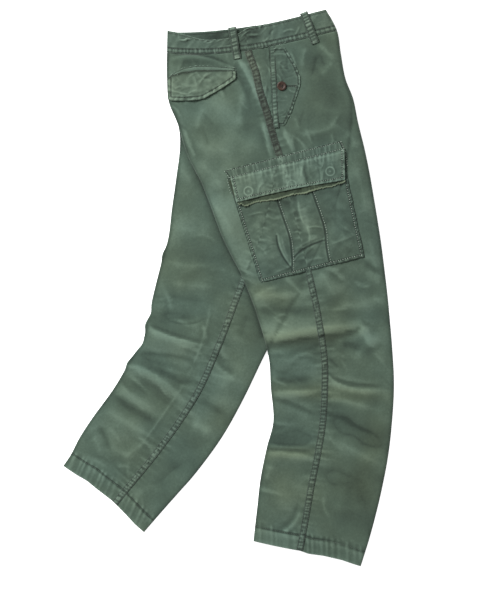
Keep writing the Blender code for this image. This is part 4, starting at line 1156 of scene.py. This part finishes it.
def pocket_facing(side, seed):
    """The facing, its topstitching, and the doubled edge of the slit over its back side."""
    y = np.linspace(FACING[0, 0], FACING[-1, 0], 115)
    back = np.interp(-y, -FACING[:, 0], FACING[:, 1])
    front = np.interp(-y, -FACING[:, 0], FACING[:, 2])
    x = back[:, None] + (front - back)[:, None] * np.linspace(0.0, 1.0, 44)
    y = np.broadcast_to(y[:, None], x.shape)
    outline = np.concatenate((np.stack((x[0], y[0]), 1), np.stack((x[:, -1], y[:, -1]), 1)[1:],
                              np.stack((x[-1], y[-1]), 1)[-2::-1]))
    height, wear_and_shade = edge_stitching(x, y, outline, FACING_EDGE, seed)
    hole = bell(line_distance(x, y, np.array(BUTTONHOLE))[0], 0.0016)
    fold = crease_height(x, y, ((0.080, 0.452, 0.100, 0.455, 0.121, 0.449, 0.0009, 0.003, 0.005),
                                (0.088, 0.380, 0.105, 0.372, 0.122, 0.376, 0.0005, 0.006, 0.006),
                                (0.090, 0.347, 0.100, 0.344, 0.112, 0.350, 0.0005, 0.005, 0.005)))
    relief = 1.0 if side == "right" else 0.3
    out = OUTWARDS[side]
    fold = 1.6 * fold + small_creases(x, y, (0.08, 0.32), (0.135, 0.465), 36, seed + 2, 20.0, 0.020, 0.0010)
    z = face(side)(x, y) + out * (0.0009 + relief * (1.3 * height + fold - 0.0005 * hole))
    piece = cloth_piece(f"pocket_facing_{side}_cloth", np.stack((x, y, z), axis=-1), pocket_cloth,
                        wear_and_shade=1.6 * wear_and_shade - 1.4 * hole - 0.1)
    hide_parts("pocket_facing_" + side)

    def surface(at_x, at_y):
        return face(side)(at_x, at_y) + out * 0.0015

    sewn = outline[48:-48]
    rows = [sewn_row(beside(sewn, -FACING_EDGE), surface, 0.0)]
    (start_x, hole_y), (end_x, _) = BUTTONHOLE
    for edge in (-0.0013, 0.0013):
        line = np.array(((start_x, hole_y + edge), (end_x, hole_y + edge)))
        rows.append(sewn_row(line, surface, 0.0001 * out, step=0.001))
    for edge in (0.0, 0.0008, 0.0016):
        line = np.array(((end_x + edge, hole_y - 0.0022), (end_x + edge, hole_y + 0.0022)))
        rows.append(sewn_row(line, surface, 0.0003 * out, step=0.001))
    slit = leg_line(TABLE[side], "slit", first=WAIST_ROW + 0.02, last=4.62)
    slit = beside(slit, 0.0052)
    ends = ((0.084, 0.350, 0.030, 0.006, 95.0, 0.4), (0.082, 0.430, 0.030, 0.006, 95.0, 0.2))
    edge_band = seam_band(f"slit_edge_{side}", slit, 0.0104, surface, seed + 1, pocket_cloth, tone_patches=ends,
                          ladder_pitch=0.0058, outwards=out)
    rows += [sewn_row(beside(slit, place), surface, 0.0006 * out) for place in (-0.0042, 0.0042)]
    thread = stitches(f"front_pocket_{side}_stitches", rows, worn_thread, pitch=0.0031)


BUTTON_RADIUS = 0.0090
BUTTON_THICK = 0.0021
HOLE_RADIUS = 0.0010
HOLE_APART = 0.0016  # from the button's middle, along both ways
# Half profile of a button from the middle of its face round to its back: shares of radius and thickness.
BUTTON_PROFILE = ((0.0, 0.62), (0.30, 0.60), (0.50, 0.64), (0.60, 0.80), (0.70, 0.97), (0.82, 1.0),
                  (0.93, 0.93), (0.99, 0.72), (1.0, 0.50), (0.97, 0.25), (0.88, 0.06), (0.70, 0.0),
                  (0.0, 0.0))


brown_horn = grained_material("brown_horn", (0.014, 0.008, 0.005), (0.052, 0.026, 0.016), 0.68,
                              roughness=0.5, specular=0.3, scale=170.0, detail=4.0, distortion=1.6)
button_thread = thread_material("button_thread", (0.035, 0.045, 0.036))


def horn_button(name, place, outwards=1.0):
    """A turned button with four holes drilled through it, sewn on with a cross of thread."""
    shape = bmesh.new()
    steps = 40
    rings = []
    for radius, height in BUTTON_PROFILE[1:-1]:
        reach, high = radius * BUTTON_RADIUS, height * BUTTON_THICK
        turns = np.linspace(0.0, 2 * math.pi, steps, endpoint=False)
        ring = [(reach * math.cos(turn), reach * math.sin(turn), high) for turn in turns]
        rings.append([shape.verts.new(point) for point in ring])
    for upper, lower in zip(rings[:-1], rings[1:]):
        for at in range(steps):
            shape.faces.new((upper[at], lower[at], lower[(at + 1) % steps], upper[(at + 1) % steps]))
    for ring, height in ((rings[0], BUTTON_PROFILE[0][1]), (rings[-1], 0.0)):
        middle = shape.verts.new((0.0, 0.0, height * BUTTON_THICK))
        for at in range(steps):
            shape.faces.new((ring[at], ring[(at + 1) % steps], middle))
    bmesh.ops.recalc_face_normals(shape, faces=shape.faces)
    mesh = bpy.data.meshes.new(name)
    shape.to_mesh(mesh)
    shape.free()
    blank = add_object(name, mesh)
    drill_shape = bmesh.new()
    for corner_x in (-1.0, 1.0):
        for corner_y in (-1.0, 1.0):
            middle = Matrix.Translation((corner_x * HOLE_APART, corner_y * HOLE_APART, BUTTON_THICK / 2))
            bmesh.ops.create_cone(drill_shape, cap_ends=True, segments=12, radius1=HOLE_RADIUS,
                                  radius2=HOLE_RADIUS, depth=3 * BUTTON_THICK, matrix=middle)
    drill_mesh = bpy.data.meshes.new("drill")
    drill_shape.to_mesh(drill_mesh)
    drill_shape.free()
    drill = add_object("drill", drill_mesh)
    holes = blank.modifiers.new("holes", "BOOLEAN")
    holes.object = drill
    holes.solver = "EXACT"
    turned = bpy.data.meshes.new_from_object(blank.evaluated_get(bpy.context.evaluated_depsgraph_get()))
    bpy.data.objects.remove(drill)
    bpy.data.objects.remove(blank)
    tilt = Matrix.Rotation(0.0 if outwards > 0 else math.pi, 4, "X")
    turned.transform(Matrix.Translation(place) @ tilt)
    turned.materials.clear()
    turned.materials.append(brown_horn)
    turned.shade_smooth()
    turned.set_sharp_from_angle(angle=math.radians(38))
    button = add_object(name, turned)
    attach(button, "root")
    x, y, z = place
    high = z + outwards * BUTTON_THICK * 0.75
    cross = []
    for way in (-1.0, 1.0):
        ends = ((x - HOLE_APART, y - way * HOLE_APART, high), (x + HOLE_APART, y + way * HOLE_APART, high))
        cross.append(np.linspace(*ends, 6))
    stitches(name + "_thread", cross, button_thread, pitch=0.0011, length=0.0017, radius=0.00030)
    return button


def standing(side, x, y, height):
    """A point this far out from a side's outer ply."""
    return x, y, float(face(side)(np.array([x]), np.array([y]))[0]) + OUTWARDS[side] * height


POCKET_BUTTON = (0.1025, 0.3925)
for number, side in enumerate(("left", "right")):
    pocket_bearer(side)
    pocket_facing(side, 81 + 4 * number)
    button = horn_button(f"pocket_button_{side}_horn", standing(side, *POCKET_BUTTON, 0.0016), OUTWARDS[side])
    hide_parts("pocket_button_" + side)


# Back pockets: a welt stitched along both its edges, and under it a flap with its front corner cut off. The
# flap is olive where it has faded least, and its turned edge is worn pale along the cut corner.

# One row from back to front: x, and the y of the top and bottom edge.
WELT = np.array((
    (-0.1188, 0.4090, 0.4020),
    (-0.1080, 0.4190, 0.4110),
    (-0.0900, 0.4280, 0.4165),
    (-0.0650, 0.4325, 0.4205),
    (-0.0300, 0.4320, 0.4208),
    (0.0135, 0.4290, 0.4200),
))
BACK_FLAP = np.array((
    (-0.1192, 0.4070, 0.3690),
    (-0.1120, 0.4130, 0.3640),
    (-0.0900, 0.4200, 0.3636),
    (-0.0620, 0.4230, 0.3650),
    (-0.0480, 0.4235, 0.3680),
    (-0.0150, 0.4232, 0.3870),
    (0.0105, 0.4225, 0.4045),
    (0.0135, 0.4222, 0.4090),
))
BACK_FLAP_EDGE = 0.0065
BACK_FLAP_LOOSE = 0.0022  # how far the flap's free edge stands off the panel
flap_cloth = cloth_material("back_flap_cloth", (0.022, 0.032, 0.024), (0.058, 0.083, 0.065),
                            (0.128, 0.172, 0.138))


def column_grid(table, count_across, count_down):
    """Ground points between the upper and lower y of a table's rows."""
    x = np.linspace(table[0, 0], table[-1, 0], count_across)
    top, bottom = (np.interp(x, table[:, 0], table[:, column]) for column in (1, 2))
    y = top + (bottom - top) * np.linspace(0.0, 1.0, count_down)[:, None]
    return np.broadcast_to(x, y.shape), y


def outline_of(x, y):
    """The border of a grid, once round from its first corner along its first row."""
    grid = np.stack((x, y), axis=-1)
    return np.concatenate((grid[0], grid[1:, -1], grid[-1, -2::-1], grid[-2::-1, 0]))


def back_pocket(side, seed):
    out, relief = OUTWARDS[side], 1.0 if side == "right" else 0.3
    x, y = column_grid(WELT, 96, 12)
    height, wear_and_shade = edge_stitching(x, y, outline_of(x, y), 0.0018, seed, pitch=0.0085)
    z = face(side)(x, y) + out * (0.0007 + relief * 2.2 * height)
    welt = cloth_piece(f"back_welt_{side}", np.stack((x, y, z), axis=-1), pocket_cloth, wall=0.0007,
                       wear_and_shade=1.7 * wear_and_shade + 0.1)
    x, y = column_grid(BACK_FLAP, 96, 46)
    border = outline_of(x, y)
    free = border[95:]
    apart = line_distance(x, y, free)[0]
    height, wear_and_shade = edge_stitching(x, y, free, BACK_FLAP_EDGE, seed + 1, pitch=0.0095)
    down = np.linspace(0.0, 1.0, 46)[:, None]
    fold_fade = 1.0 - smoothstep(-0.110, -0.119, x) * 0.7
    loose = BACK_FLAP_LOOSE * smoothstep(0.0, 0.8, down) * fold_fade
    folds = crease_height(x, y, ((-0.105, 0.402, -0.075, 0.392, -0.050, 0.398, 0.0010, 0.006, 0.009),
                                 (-0.085, 0.378, -0.055, 0.383, -0.025, 0.400, 0.0009, 0.007, 0.006),
                                 (-0.030, 0.418, -0.010, 0.409, 0.004, 0.412, 0.0007, 0.005, 0.006)))
    folds += undulation(x, y, seed, 0.012, 0.040, 0.0005)
    folds += small_creases(x, y, (-0.115, 0.365), (0.01, 0.42), 34, seed + 2, 15.0, 0.026, 0.0012)
    loose = loose * (1.0 if side == "right" else 0.2)
    z = face(side)(x, y) + out * (0.0008 + loose + relief * (height + folds))
    # Painted shadow along the flap's top under the welt, and painted shade in the stitch groove.
    worn = 0.35 + 0.9 * wear_and_shade - 2.6 * bell(down, 0.07) - 0.8 * bell(apart - BACK_FLAP_EDGE, 0.0014)
    worn = worn + patches_sum(x, y, ((-0.018, 0.388, 0.035, 0.004, 30.0, 1.4),
                                     (-0.090, 0.366, 0.025, 0.003, 0.0, 0.8)))
    piece = cloth_piece(f"back_pocket_flap_{side}_cloth", np.stack((x, y, z), axis=-1), flap_cloth, wear_and_shade=worn,
                        olive=0.15)
    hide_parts("back_pocket_flap_" + side)
    smooth_z = face(side)

    def flap_face(at_x, at_y):
        top = np.interp(at_x, BACK_FLAP[:, 0], BACK_FLAP[:, 1])
        bottom = np.interp(at_x, BACK_FLAP[:, 0], BACK_FLAP[:, 2])
        share = smoothstep(0.0, 0.8, (top - at_y) / (top - bottom))
        lift_off = BACK_FLAP_LOOSE * share * (1.0 if side == "right" else 0.2)
        return smooth_z(at_x, at_y) + out * (0.0013 + lift_off)

    rows = [sewn_row(beside(even_line(free, 0.002), -BACK_FLAP_EDGE)[4:-8], flap_face, 0.0001 * out)]
    for column, shift in ((1, -0.0018), (2, 0.0018)):
        line = np.column_stack((WELT[:, 0], WELT[:, column] + shift))
        rows.append(sewn_row(line, smooth_z, 0.0010 * out))
    thread = stitches(f"back_pocket_{side}_stitches", rows, worn_thread, pitch=0.0032)


for number, side in enumerate(("left", "right")):
    back_pocket(side, 91 + 4 * number)


# Cargo pockets on the outseams: a body with two stitched pleats, and a flap whose upper edge is a wide strip
# stitched down twice. Under the flap lies an unfaded frayed ply that hides three horn buttons.

CARGO_CORNERS = ((-0.0045, 0.2175), (0.2185, 0.2740), (0.2645, 0.0600), (0.0605, 0.0090))
CARGO_EDGE = 0.0060
PLEAT_LINES = (
    ((0.0936, 0.1700), (0.1080, 0.1287), (0.1190, 0.0975), (0.1229, 0.0585), (0.1229, 0.0300)),
    ((0.1620, 0.1850), (0.1755, 0.1482), (0.1872, 0.1131), (0.1892, 0.0761), (0.1950, 0.0500)),
)
CARGO_CREASES = (
    (0.0920, 0.1014, 0.1000, 0.0700, 0.1200, 0.0400, -0.0016, 0.003, 0.005),
    (0.1020, 0.1040, 0.1090, 0.0720, 0.1210, 0.0520, 0.0012, 0.005, 0.005),
    (0.1240, 0.0560, 0.1480, 0.0770, 0.1860, 0.0930, -0.0016, 0.003, 0.003),
    (0.1260, 0.0660, 0.1460, 0.0860, 0.1830, 0.1010, 0.0014, 0.007, 0.004),
    (0.1340, 0.1760, 0.1400, 0.1380, 0.1520, 0.1200, 0.0016, 0.005, 0.003),
    (0.1500, 0.1240, 0.1560, 0.1050, 0.1560, 0.0820, 0.0013, 0.005, 0.003),
    (0.1240, 0.1080, 0.1320, 0.1120, 0.1440, 0.1090, -0.0009, 0.003, 0.003),
    (0.0300, 0.1180, 0.0600, 0.1080, 0.0900, 0.1120, 0.0008, 0.010, 0.014),
    (0.0500, 0.0700, 0.0750, 0.0600, 0.1000, 0.0660, 0.0008, 0.012, 0.010),
    (0.1950, 0.0850, 0.2200, 0.0930, 0.2480, 0.1050, 0.0012, 0.006, 0.004),
    (0.1500, 0.0500, 0.1700, 0.0580, 0.1900, 0.0560, 0.0009, 0.004, 0.004),
    (0.1200, 0.1250, 0.1350, 0.1330, 0.1500, 0.1300, 0.0008, 0.005, 0.005),
    (0.0350, 0.1450, 0.0600, 0.1380, 0.0850, 0.1450, 0.0006, 0.010, 0.010),
)
UNDERLAY_HEIGHT = 0.0031
BUTTON_PLACES = ((0.0380, 0.1875), (0.1220, 0.2005), (0.1965, 0.2260))
STRIP_CORNERS = ((-0.0100, 0.2285), (0.2165, 0.2865), (0.2245, 0.2690), (0.0020, 0.2120))
FLAP_CORNERS = ((0.0026, 0.2160), (0.2243, 0.2715), (0.2255, 0.2100), (0.0145, 0.1655))
# Shares along the underlay's lower edge, and how far up the frayed edge is there.
FRAY = ((0.0, 0.0050), (0.03, 0.0030), (0.07, -0.0022), (0.11, -0.0005), (0.18, 0.0019), (0.355, -0.0017),
        (0.53, 0.0015), (0.625, -0.0010), (0.79, 0.0029), (0.87, 0.0015), (0.93, 0.0039), (1.0, 0.0055))
FLAP_SHARES = (0.0, 0.05, 0.12, 0.30, 1.0)
FLAP_HEIGHTS = (0.0022, 0.0030, 0.0050, 0.0060, 0.0062)
FLAP_EDGE = 0.0055


def corner_grid(corners, across, down):
    """Ground points between four corners: top back, top front, bottom front, bottom back."""
    top_back, top_front, bottom_front, bottom_back = (np.array(corner) for corner in corners)
    u, v = np.linspace(0.0, 1.0, across)[None, :, None], np.linspace(0.0, 1.0, down)[:, None, None]
    start, end = top_back + (bottom_back - top_back) * v, top_front + (bottom_front - top_front) * v
    grid = start + (end - start) * u
    return grid[..., 0], grid[..., 1], u[..., 0], v[..., 0]


def seam_below(x, y):
    """The outseam's bulk, felt through the pocket that is sewn over it."""
    return bell(line_distance(x, y, RIGHT_OUTSEAM)[0], 0.0055)


def pleat_run(line):
    """A pleat's edge as a line without corners."""
    line = even_line(np.array(line), 0.002)
    ends = line[[0, -1]].copy()
    for _ in range(30):
        line[1:-1] = (line[:-2] + line[1:-1] + line[2:]) / 3
    line[[0, -1]] = ends
    return line


def cargo_body(x, y):
    """Height of the right pocket's body over the panel, and its wear_and_shade value: painted shade in its
    stitch grooves and painted shadow in the pleats' gaps.
    """
    corners = np.array((*CARGO_CORNERS, CARGO_CORNERS[0]))
    sides = even_line(corners[[0, 3, 2, 1]], 0.003)
    apart, _, _ = line_distance(x, y, sides)
    height, wear_and_shade = edge_stitching(x, y, sides, CARGO_EDGE, 101, pitch=0.0066)
    # Painted shade in a second stitch groove near the edge and along the stitch row.
    second = bell(apart - 0.0012, 0.0009)
    height, wear_and_shade = height - 0.0003 * second, wear_and_shade - 1.6 * second - 1.2 * bell(apart - CARGO_EDGE, 0.0022)
    for number, line in enumerate(PLEAT_LINES):
        line = pleat_run(line)
        off, hand, along = line_distance(x, y, line)
        step = off * hand
        run = np.clip(along / run_length(line), 0.0, 1.0)
        fade = 1.0 - 0.5 * smoothstep(0.8, 1.0, run)
        ladder = np.interp(along, *uneven_ridges(run_length(line), 0.0070, 107 + number))
        close = bell(step - 0.0030, 0.0030)
        gap = bell(step, 0.0013)
        under_thread = bell(step - 0.0032, 0.0016)
        # Painted shadow in the pleat's gap and painted shade beside its stitch row; the ladder of puckers
        # lighter on its ridges.
        height = height + fade * (0.0004 * ladder * close - 0.0010 * gap)
        wear_and_shade = wear_and_shade + fade * (0.35 * close * ladder - 2.6 * gap - 0.9 * under_thread)
    v_line = np.array(((-0.010, 0.190), (0.235, 0.252)))
    below_flap = smoothstep(0.015, 0.045, -line_distance(x, y, v_line)[0] * line_distance(x, y, v_line)[1])
    loose = 0.0016 * smoothstep(0.006, 0.035, apart) + undulation(x, y, 103, 0.016, 0.060, 0.0006)
    loose = loose + small_creases(x, y, (0.01, 0.03), (0.25, 0.25), 60, 105, 15.0, 0.034, 0.0011)
    height = height + crease_height(x, y, CARGO_CREASES) + 0.0007 * seam_below(x, y)
    return 0.0009 + (0.25 + 0.75 * below_flap) * (height + loose), wear_and_shade


def cargo_surface(x, y):
    return right_top(x, y) + cargo_body(x, y)[0] + CLOTH / 2


x, y, _, _ = corner_grid(CARGO_CORNERS, 165, 150)
body_height, body_wear_and_shade = cargo_body(x, y)
# Painted shade in the troughs of two creases, with a painted highlight on the ridge beside each.
for crease in (CARGO_CREASES[0], CARGO_CREASES[2]):
    fold = curve_points(crease)
    off, hand, _ = line_distance(x, y, fold)
    body_wear_and_shade = body_wear_and_shade - 1.6 * bell(off, 0.0014) + 0.9 * bell(off * hand - 0.0035, 0.0018)
# Worn pale places and painted shade on the pocket body; the long dark band just under the flap is painted
# shadow.
CARGO_WEAR_AND_SHADE = (
    (0.150, 0.130, 0.045, 0.007, 108.0, 0.9),
    (0.140, 0.140, 0.030, 0.014, 108.0, 0.35),
    (0.120, 0.170, 0.100, 0.012, 15.0, -0.7),
    (0.118, 0.150, 0.030, 0.012, 108.0, -0.5),
    (0.060, 0.060, 0.040, 0.030, 0.0, 0.2),
    (0.150, 0.080, 0.030, 0.025, 0.0, -0.5),
    (0.235, 0.120, 0.060, 0.015, 100.0, -0.3),
)
body_wear_and_shade = body_wear_and_shade + patches_sum(x, y, CARGO_WEAR_AND_SHADE)
body_z = right_top(x, y) + body_height
cargo_pocket = cloth_piece("cargo_pocket_right_cloth", np.stack((x, y, body_z), axis=-1), pocket_cloth,
                           wear_and_shade=body_wear_and_shade)
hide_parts("cargo_pocket_right")
sides = even_line(np.array(CARGO_CORNERS)[[0, 3, 2, 1]], 0.003)
rows = [sewn_row(beside(sides, inset)[3:-3], cargo_surface, 0.0001) for inset in (CARGO_EDGE,)]
rows += [sewn_row(beside(pleat_run(line), 0.0032), cargo_surface, 0.0003) for line in PLEAT_LINES]
pale_thread = thread_material("pale_thread", (0.40, 0.48, 0.40))
cargo_thread = stitches("cargo_pocket_stitches", rows, pale_thread, 0.0047, 0.0022, 0.00070)

# The frayed ply under the flap and its buttons.
x, y, u, v = corner_grid(((-0.0015, 0.2080), (0.2180, 0.2650), (0.2262, 0.2000), (0.0176, 0.1570)), 170, 48)
draw = np.random.default_rng(113)
fray_shares = np.linspace(0.0, 1.0, 170)
fray = np.interp(fray_shares, *np.array(FRAY).T) + 0.0007 * draw.standard_normal(170)
y = y + fray * v**3
wave = 0.0016 * np.sin(fray_shares * 19.0 + 1.0) * v**2
wave = wave + 0.0006 * np.interp(fray_shares, *uneven_ridges(1.0, 0.035, 115))
pale_edge = 2.6 * smoothstep(0.93, 0.97, v) - 0.8
under_z = right_top(x, y) + UNDERLAY_HEIGHT + 0.0008 * v + wave * smoothstep(0.4, 1.0, v)
under_z = np.maximum(under_z, cargo_surface(x, y) + 0.0011)
underlay = cloth_piece("cargo_flap_underlay_cloth", np.stack((x, y, under_z), axis=-1), under_cloth,
                       wear_and_shade=pale_edge, olive=0.8)
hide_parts("cargo_flap_underlay_right")
for number, (button_x, button_y) in enumerate(BUTTON_PLACES, start=1):
    place = standing("right", button_x, button_y, UNDERLAY_HEIGHT + CLOTH)
    button = horn_button(f"cargo_button_right_{number}_horn", place)
    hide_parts(f"cargo_button_right_{number}")


def flap_height(x, y, v):
    height = np.interp(v, FLAP_SHARES, FLAP_HEIGHTS)
    for number, (button_x, button_y) in enumerate(BUTTON_PLACES):
        off = np.hypot(x - button_x, y - button_y)
        strength = 0.5 if number == 1 else 1.0
        ring = bell(off - BUTTON_RADIUS * 0.92, 0.0011) + 0.8 * bell(off, 0.0022)
        height = height + strength * (0.0005 * ring + 0.0003 * (1.0 - smoothstep(0.008, 0.013, off)))
    loose = undulation(x, y, 117, 0.012, 0.050, 0.0005) * smoothstep(0.0, 0.2, v)
    return height + 0.0009 * seam_below(x, y) + loose


x, y, u, v = corner_grid(FLAP_CORNERS, 170, 48)
droop = 0.0030 * np.sin(math.pi * np.clip(u * 1.1, 0.0, 1.0)) * v**2
y = y + droop
flap_sides = even_line(outline_of(x, y)[169:], 0.0025)
edge_height, edge_wear_and_shade = edge_stitching(x, y, flap_sides, FLAP_EDGE, 119, pitch=0.0085)
top_ladder = np.interp(u, *uneven_ridges(1.0, 0.034, 121)) * np.exp(-v / 0.22)
rings = np.zeros(x.shape)
for number, (button_x, button_y) in enumerate(BUTTON_PLACES):
    off = np.hypot(x - button_x, y - button_y)
    ring = bell(off - BUTTON_RADIUS * 0.92, 0.0010) + 0.9 * bell(off, 0.0015)
    rings = rings + (0.4 if number == 1 else 0.9) * ring
over_seam = bell(line_distance(x, y, RIGHT_OUTSEAM)[0], 0.006)
worn = 0.35 + 1.2 * edge_wear_and_shade + rings + 0.9 * top_ladder + 1.1 * over_seam
# Lighter and darker marks on the flap; near x 0.14 a bright line and a thin dark one paint a fold's lit side
# and its shade.
FLAP_WEAR_AND_SHADE = (
    (0.137, 0.214, 0.030, 0.009, -75.0, 1.0),
    (0.105, 0.205, 0.020, 0.010, -75.0, -0.5),
    (0.150, 0.215, 0.030, 0.003, -75.0, -1.2),
    (0.060, 0.205, 0.030, 0.006, 100.0, 0.6),
    (0.190, 0.225, 0.040, 0.015, 10.0, -0.3),
)
worn = worn + patches_sum(x, y, FLAP_WEAR_AND_SHADE)
# Pale worn rim along the flap's edges; painted shadow along its top, under the strip.
worn = worn + 1.3 * np.exp(-line_distance(x, y, flap_sides)[0] / 0.0012) - 1.0 * bell(v, 0.03)
flap_z = right_top(x, y) + flap_height(x, y, v) + 0.9 * edge_height + 0.0012 * top_ladder
fine_creases = small_creases(x, y, (0.01, 0.17), (0.22, 0.26), 46, 131, 100.0, 0.030, 0.0012)
flap_z = flap_z + fine_creases * smoothstep(0.0, 0.1, v)
flap = cloth_piece("cargo_flap_right_cloth", np.stack((x, y, flap_z), axis=-1), pocket_cloth, wear_and_shade=worn)
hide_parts("cargo_flap_right")

strip_x, strip_y, strip_u, strip_v = corner_grid(STRIP_CORNERS, 170, 16)
height, wear_and_shade = edge_stitching(strip_x, strip_y, outline_of(strip_x, strip_y), 0.0022, 123, pitch=0.0080)
puckers = np.interp(strip_u + 0.03 * strip_v, *uneven_ridges(1.05, 0.038, 125)) * np.sin(math.pi * strip_v)
over_seam = seam_below(strip_x, strip_y)
strip_z = right_top(strip_x, strip_y) + 0.0021 + height + 0.0007 * puckers + 0.0007 * over_seam
# Painted shadow: a dark band along the strip's lower edge, where it lies over the flap.
strip_worn = 1.6 * wear_and_shade + 0.35 * puckers + 0.5 * over_seam - 2.2 * smoothstep(0.86, 0.96, strip_v)
strip = cloth_piece("cargo_flap_strip", np.stack((strip_x, strip_y, strip_z), axis=-1), pocket_cloth,
                    wall=0.0008, wear_and_shade=strip_worn)


def flap_line(corners, start, end, lift_off):
    """Stitch row between two shares (across, down) of a four-cornered piece, this far over the panel."""
    grid_x, grid_y, _, _ = corner_grid(corners, 41, 41)
    shares = np.linspace(start, end, 60) * 40
    at = shares.round().astype(int)
    line = np.column_stack((grid_x[at[:, 1], at[:, 0]], grid_y[at[:, 1], at[:, 0]]))
    return sewn_row(even_line(line[[0, 20, 40, -1]], 0.002), right_top, lift_off)


strip_ends = (((0.01, 0.14), (0.99, 0.14)), ((0.01, 0.88), (0.99, 0.88)),
              ((0.012, 0.14), (0.012, 0.88)), ((0.988, 0.14), (0.988, 0.88)))
rows = [flap_line(STRIP_CORNERS, start, end, 0.0027) for start, end in strip_ends]
rows.append(sewn_row(np.array(((-0.0030, 0.2100), (0.0030, 0.1850))), right_top, 0.0012))
rows.append(sewn_row(np.array(((0.2265, 0.2650), (0.2305, 0.2380))), right_top, 0.0012))
flap_rows = beside(flap_sides, -FLAP_EDGE)[2:-2]


def over_flap(at_x, at_y):
    return right_top(at_x, at_y) + 0.0071


rows.append(sewn_row(flap_rows, over_flap, 0.0))
flap_thread = stitches("cargo_flap_stitches", rows, pale_thread, 0.0044, 0.0022, 0.00055)

# The left pocket lies on the ground under its leg, pressed flat.
LEFT_POCKET = ((5.9, 0.16), (5.7, 0.87), (9.3, 0.87), (9.5, 0.10))
LEFT_FLAP = ((5.7, 0.15), (5.5, 0.88), (6.8, 0.88), (7.0, 0.14))
UNDER_GAP = 0.0009


def left_patch(name, corners, across, down, depth, node, seed):
    rows_at, shares_at, _, _ = corner_grid(corners, across, down)
    x, y = leg_xy(LEFT_ROWS, rows_at, shares_at)
    border = outline_of(x, y)
    height, wear_and_shade = edge_stitching(x, y, border, CARGO_EDGE, seed)
    relief = 0.2 * (height + undulation(x, y, seed, 0.02, 0.07, 0.0006))
    z = np.maximum(lift(y) - depth - relief, 0.0006)
    piece = cloth_piece(name, np.stack((x, y, z), axis=-1), pocket_cloth, wear_and_shade=wear_and_shade)
    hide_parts(node)
    corners_at = [0, across - 1, across + down - 2, 2 * across + down - 3, len(border) - 1]
    rows = []
    for first, last in zip(corners_at[:-1], corners_at[1:]):
        line = beside(even_line(border[first:last + 1], 0.004), -CARGO_EDGE)[2:-2]
        rows.append(sewn_row(line, lambda at_x, at_y: lift(at_y) - depth - 0.0005, 0.0))
    thread = stitches(name + "_stitches", rows, pale_thread, pitch=0.0036)


left_patch("cargo_pocket_left_cloth", LEFT_POCKET, 76, 66, UNDER_GAP + CLOTH / 2, "cargo_pocket_left",
           127)
left_patch("cargo_flap_left_cloth", LEFT_FLAP, 100, 30, 2 * UNDER_GAP + 1.5 * CLOTH, "cargo_flap_left",
           129)


# The fly is folded in between the two sides: the underlap of the zip on the left front edge, and the waist
# button that holds the band closed.

FLY_BACK = 0.042
FLY_FRONT = 0.004
rows_at = np.linspace(0.25, 4.2, 80)
at = section_values(LEFT_ROWS, rows_at)
width = np.hypot(at["front_x"] - at["back_x"], at["front_y"] - at["back_y"])
inset = np.linspace(FLY_BACK, FLY_FRONT, 14)
x, y = leg_xy(LEFT_ROWS, rows_at[:, None], at["fly"][:, None] - inset / width[:, None])
fly_z = left_ply_z("outer", x, y) + PLY_STEP - 0.0001
underlap = cloth_piece("fly_underlap_cloth", np.stack((x, y, fly_z), axis=-1), under_cloth)
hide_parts("fly_underlap")
low, high = (np.array(corner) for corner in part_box("waist_button"))
middle = (low + high) / 2
waist_button = horn_button("waist_button_horn", (middle[0], middle[1], low[2]))
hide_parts("waist_button")


# A plain pale floor, a broad soft light from the left and the waist end, an even soft fill, and a camera
# straight above.
floor_mesh = bpy.data.meshes.new("floor")
corners = [(-4, -4, -0.0005), (4, -4, -0.0005), (4, 4, -0.0005), (-4, 4, -0.0005)]
floor_mesh.from_pydata(corners, [], [(0, 1, 2, 3)])
floor = add_object("floor", floor_mesh)
pale = bpy.data.materials.new("pale_floor")
pale.use_nodes = True
pale.node_tree.nodes["Principled BSDF"].inputs["Base Color"].default_value = (0.93, 0.93, 0.93, 1.0)
pale.node_tree.nodes["Principled BSDF"].inputs["Roughness"].default_value = 1.0
pale.node_tree.nodes["Principled BSDF"].inputs["Emission Color"].default_value = (1.0, 1.0, 1.0, 1.0)
pale.node_tree.nodes["Principled BSDF"].inputs["Emission Strength"].default_value = 0.75
floor_mesh.materials.append(pale)

world = bpy.data.worlds.new("studio")
bpy.context.scene.world = world
world.use_nodes = True
world.node_tree.nodes["Background"].inputs["Color"].default_value = (1.0, 1.0, 1.0, 1.0)
world.node_tree.nodes["Background"].inputs["Strength"].default_value = 0.46


def soft_light(name, place, size, power):
    lamp = bpy.data.lights.new(name, "AREA")
    lamp.shape = "SQUARE"
    lamp.size = size
    lamp.energy = power
    holder = add_object(name, lamp)
    holder.location = place
    holder.rotation_euler = (-Vector(place)).to_track_quat("-Z", "Y").to_euler()


soft_light("key", (-3.4, 3.2, 3.5), 2.2, 600.0)
bpy.context.scene.view_settings.view_transform = "Standard"

camera_data = bpy.data.cameras.new("camera")
camera_data.lens = 85.0
camera_data.sensor_width = 36.0
camera = add_object("camera", camera_data)
camera.location = (0.0215, -0.0234, 2.768)
bpy.context.scene.camera = camera
